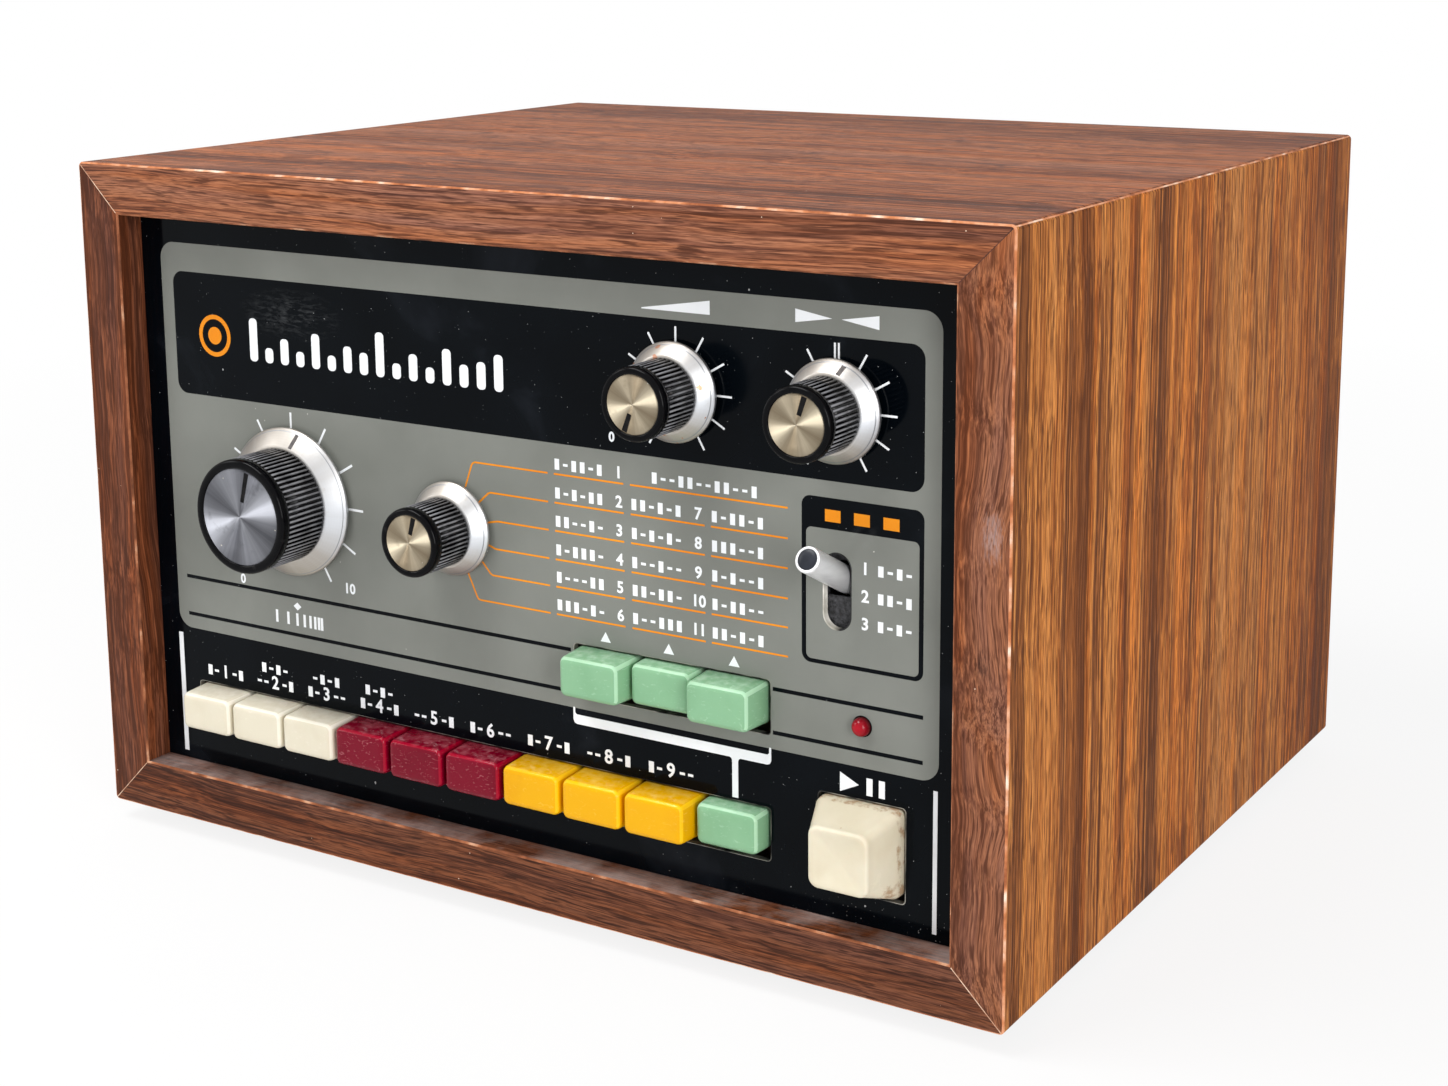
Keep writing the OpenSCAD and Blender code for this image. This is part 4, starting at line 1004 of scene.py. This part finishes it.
lever_place = (Matrix.Translation(on_panel(228.1, 73.0, -PIVOT)) @ Matrix.Rotation(-TILT, 4, "X")
               @ Matrix.Rotation(math.pi / 2, 4, "X"))


def lever_piece(name, node, profile, finish, pins=()):
    """A piece turned about the lever's own axis, which replaces a node; profile is (radius, distance from the
    pivot) in mm, and pins are (radius, half length) of rods across it at the pivot."""
    verts = [lever_place @ (Vector((r * s, r * c, h)) / 1000) for r, h in profile for s, c in round_steps(48)]
    faces = skin(len(profile), 48)
    for r, half in pins:
        faces += skin(2, 24, len(verts))
        verts += [lever_place @ (Vector((side, r * c, r * s)) / 1000) for side in (-half, half)
                  for s, c in round_steps(24)]
    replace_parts(mesh_piece(name, verts, faces, [finish], "lever_body"), node)


lever_piece("lever_rod", "toggle_lever", [
    (0.05, -9), (1.8, -9), (2.0, -8.8), (2.0, -2.2), (2.6, -2.0), (3.4, -1.4), (3.4, REACH - 0.7),
    (3.36, REACH - 0.3), (3.25, REACH - 0.08), (3.0, REACH), (2.7, REACH - 0.05), (2.65, REACH - 0.2),
    (2.65, REACH - 1.2), (0.05, REACH - 1.2)], lever_bright, [PIN])
lever_piece("lever_plug", "toggle_tip", [
    (0.05, REACH - 1.18), (2.6, REACH - 1.18), (2.6, REACH - 0.14), (2.5, REACH - 0.05), (1.2, REACH - 0.04),
    (0.05, REACH - 0.04)], plug_black)

leathery, tree, shader, coords = new_finish("grained_black", {"Roughness": 0.5, "IOR": 1.45})
feed(tree, shader, Base_Color=ramp(tree, noise(tree, coords, 900, 4), [(0.36, srgb(12, 12, 14)),
                                                                       (0.66, srgb(66, 66, 70))]))
bumped(tree, shader, add_node(tree, "TexVoronoi", {"Vector": coords, "Scale": 1700.0}).outputs["Distance"], 0.00015)
coat("toggle_shutter", leathery)

# ---------------------------------------------------------------- lamp
# A red beat lamp: a cast epoxy dome with a flange behind the panel, held by a thin black clip.
DOME_R, DOME_FROM = 2.5, 0.5
red_lens, tree, shader, coords = new_finish("red_lens", {"IOR": 1.27, "Roughness": 0.03})
bubbles = noise(tree, coords, 700, 2)
# the dome is painted bright red at its crown and dark towards the panel: painted shade
deep = spread(tree, along_axis(tree, coords, "Y"), 0.0, 1.0, PANEL_Y - 0.0031, PANEL_Y)
painted_lens_shade = ramp(tree, deep, [(0.0, srgb(164, 2, 26)), (0.35, srgb(128, 0, 20)), (0.8, srgb(40, 0, 4))])
feed(tree, shader, Base_Color=mix(tree, calc(tree, "MULTIPLY", bubbles, 0.12), painted_lens_shade, srgb(220, 60, 70)))
bumped(tree, shader, bubbles, 0.00002)
dome = [(DOME_R * math.cos(a), DOME_FROM + DOME_R * math.sin(a)) for a in (math.pi / 2 * k / 8 for k in range(8))]
turned_piece("beat_lamp", LAMP, [(ON_AXIS, -3.4), (3.2, -3.4), (3.2, -2.02), (DOME_R, -2.0), *dome,
                                 (ON_AXIS, DOME_FROM + DOME_R)], red_lens, "cabinet", "lamp", 40)
turned_piece("lamp_clip", LAMP, [(2.53, -1.0), (2.8, 0.0), (2.75, 0.2), (2.65, 0.25), (2.55, 0.2)], glossy_rim,
             "cabinet", steps=40)

# ---------------------------------------------------------------- feet, back and what is inside
# Rubber feet under the box, a black steel back with pressed vents, nickel jack sockets, and behind the panel
# the zinc-plated tray, the switch banks, two paper-laminate circuit boards and the mains transformer.
METAL, LACQUERED, DULL = {"Metallic": 1.0}, {"Metallic": 0.7}, {"IOR": 1.45}
EVEN = (1, 1, 1)
# each finish: its dark and light tone, constants, clouds to the metre, roughness, depth, stretch, and its nodes
for name, low, high, constants, scale, rough, depth, stretch, nodes in (
        ("foot_rubber", (24, 24, 24), (44, 43, 42), DULL, 400, 0.75, 0.0001, EVEN, ["rubber_feet"]),
        ("crackle_black", (22, 22, 23), (42, 42, 43), DULL, 1500, 0.45, 0.00018, EVEN, ["rear_panel"]),
        ("zinc_plate", (150, 152, 154), (196, 198, 198), METAL, 60, 0.35, 0.00002, (1, 1, 6),
         ["chassis_tray", "upper_key_bank", "lower_key_bank", "toggle_switch"]),
        ("nickel_plate", (170, 168, 162), (206, 204, 198), METAL, 300, 0.22, 0.00002, EVEN,
         ["jack_sockets", "panel_spacers", "board_pillars", "potentiometers"]),
        ("screw_steel", (120, 120, 120), (180, 180, 178), METAL, 500, 0.3, 0.00003, EVEN,
         ["case_screws", "tempo_shaft", "volume_shaft", "balance_shaft", "selector_shaft"]),
        ("paper_laminate", (150, 104, 52), (186, 138, 76), DULL, 90, 0.4, 0.00003, EVEN,
         ["logic_board", "voice_board", "selector_switch"]),
        ("moulded_parts", (24, 24, 28), (60, 58, 60), DULL, 200, 0.35, 0.00005, EVEN, ["board_components"]),
        ("lacquered_core", (52, 50, 50), (96, 92, 88), LACQUERED, 900, 0.45, 0.0001, (0.02, 1, 0.02),
         ["transformer_core"]),
        ("taped_winding", (180, 146, 62), (216, 186, 100), DULL, 160, 0.45, 0.0001, (1, 1, 8), ["transformer_coil"]),
        ("switch_nylon", (206, 200, 182), (228, 224, 210), DULL, 200, 0.4, 0.00005, EVEN, ["start_switch"]),
        ("black_phenolic", (18, 18, 20), (40, 39, 40), DULL, 260, 0.3, 0.00005, EVEN, ["fuse_holder", "cord_gland"]),
        ("raw_pine", (176, 134, 84), (214, 176, 124), DULL, 160, 0.7, 0.0002, (1, 0.06, 1), ["corner_blocks"])):
    finish = mottled(name, constants, scale, 5, [(0.3, low), (0.7, high)], (rough - 0.07, rough + 0.07, 0.3, 0.7),
                     depth, stretch)
    for node in nodes:
        coat(node, finish)
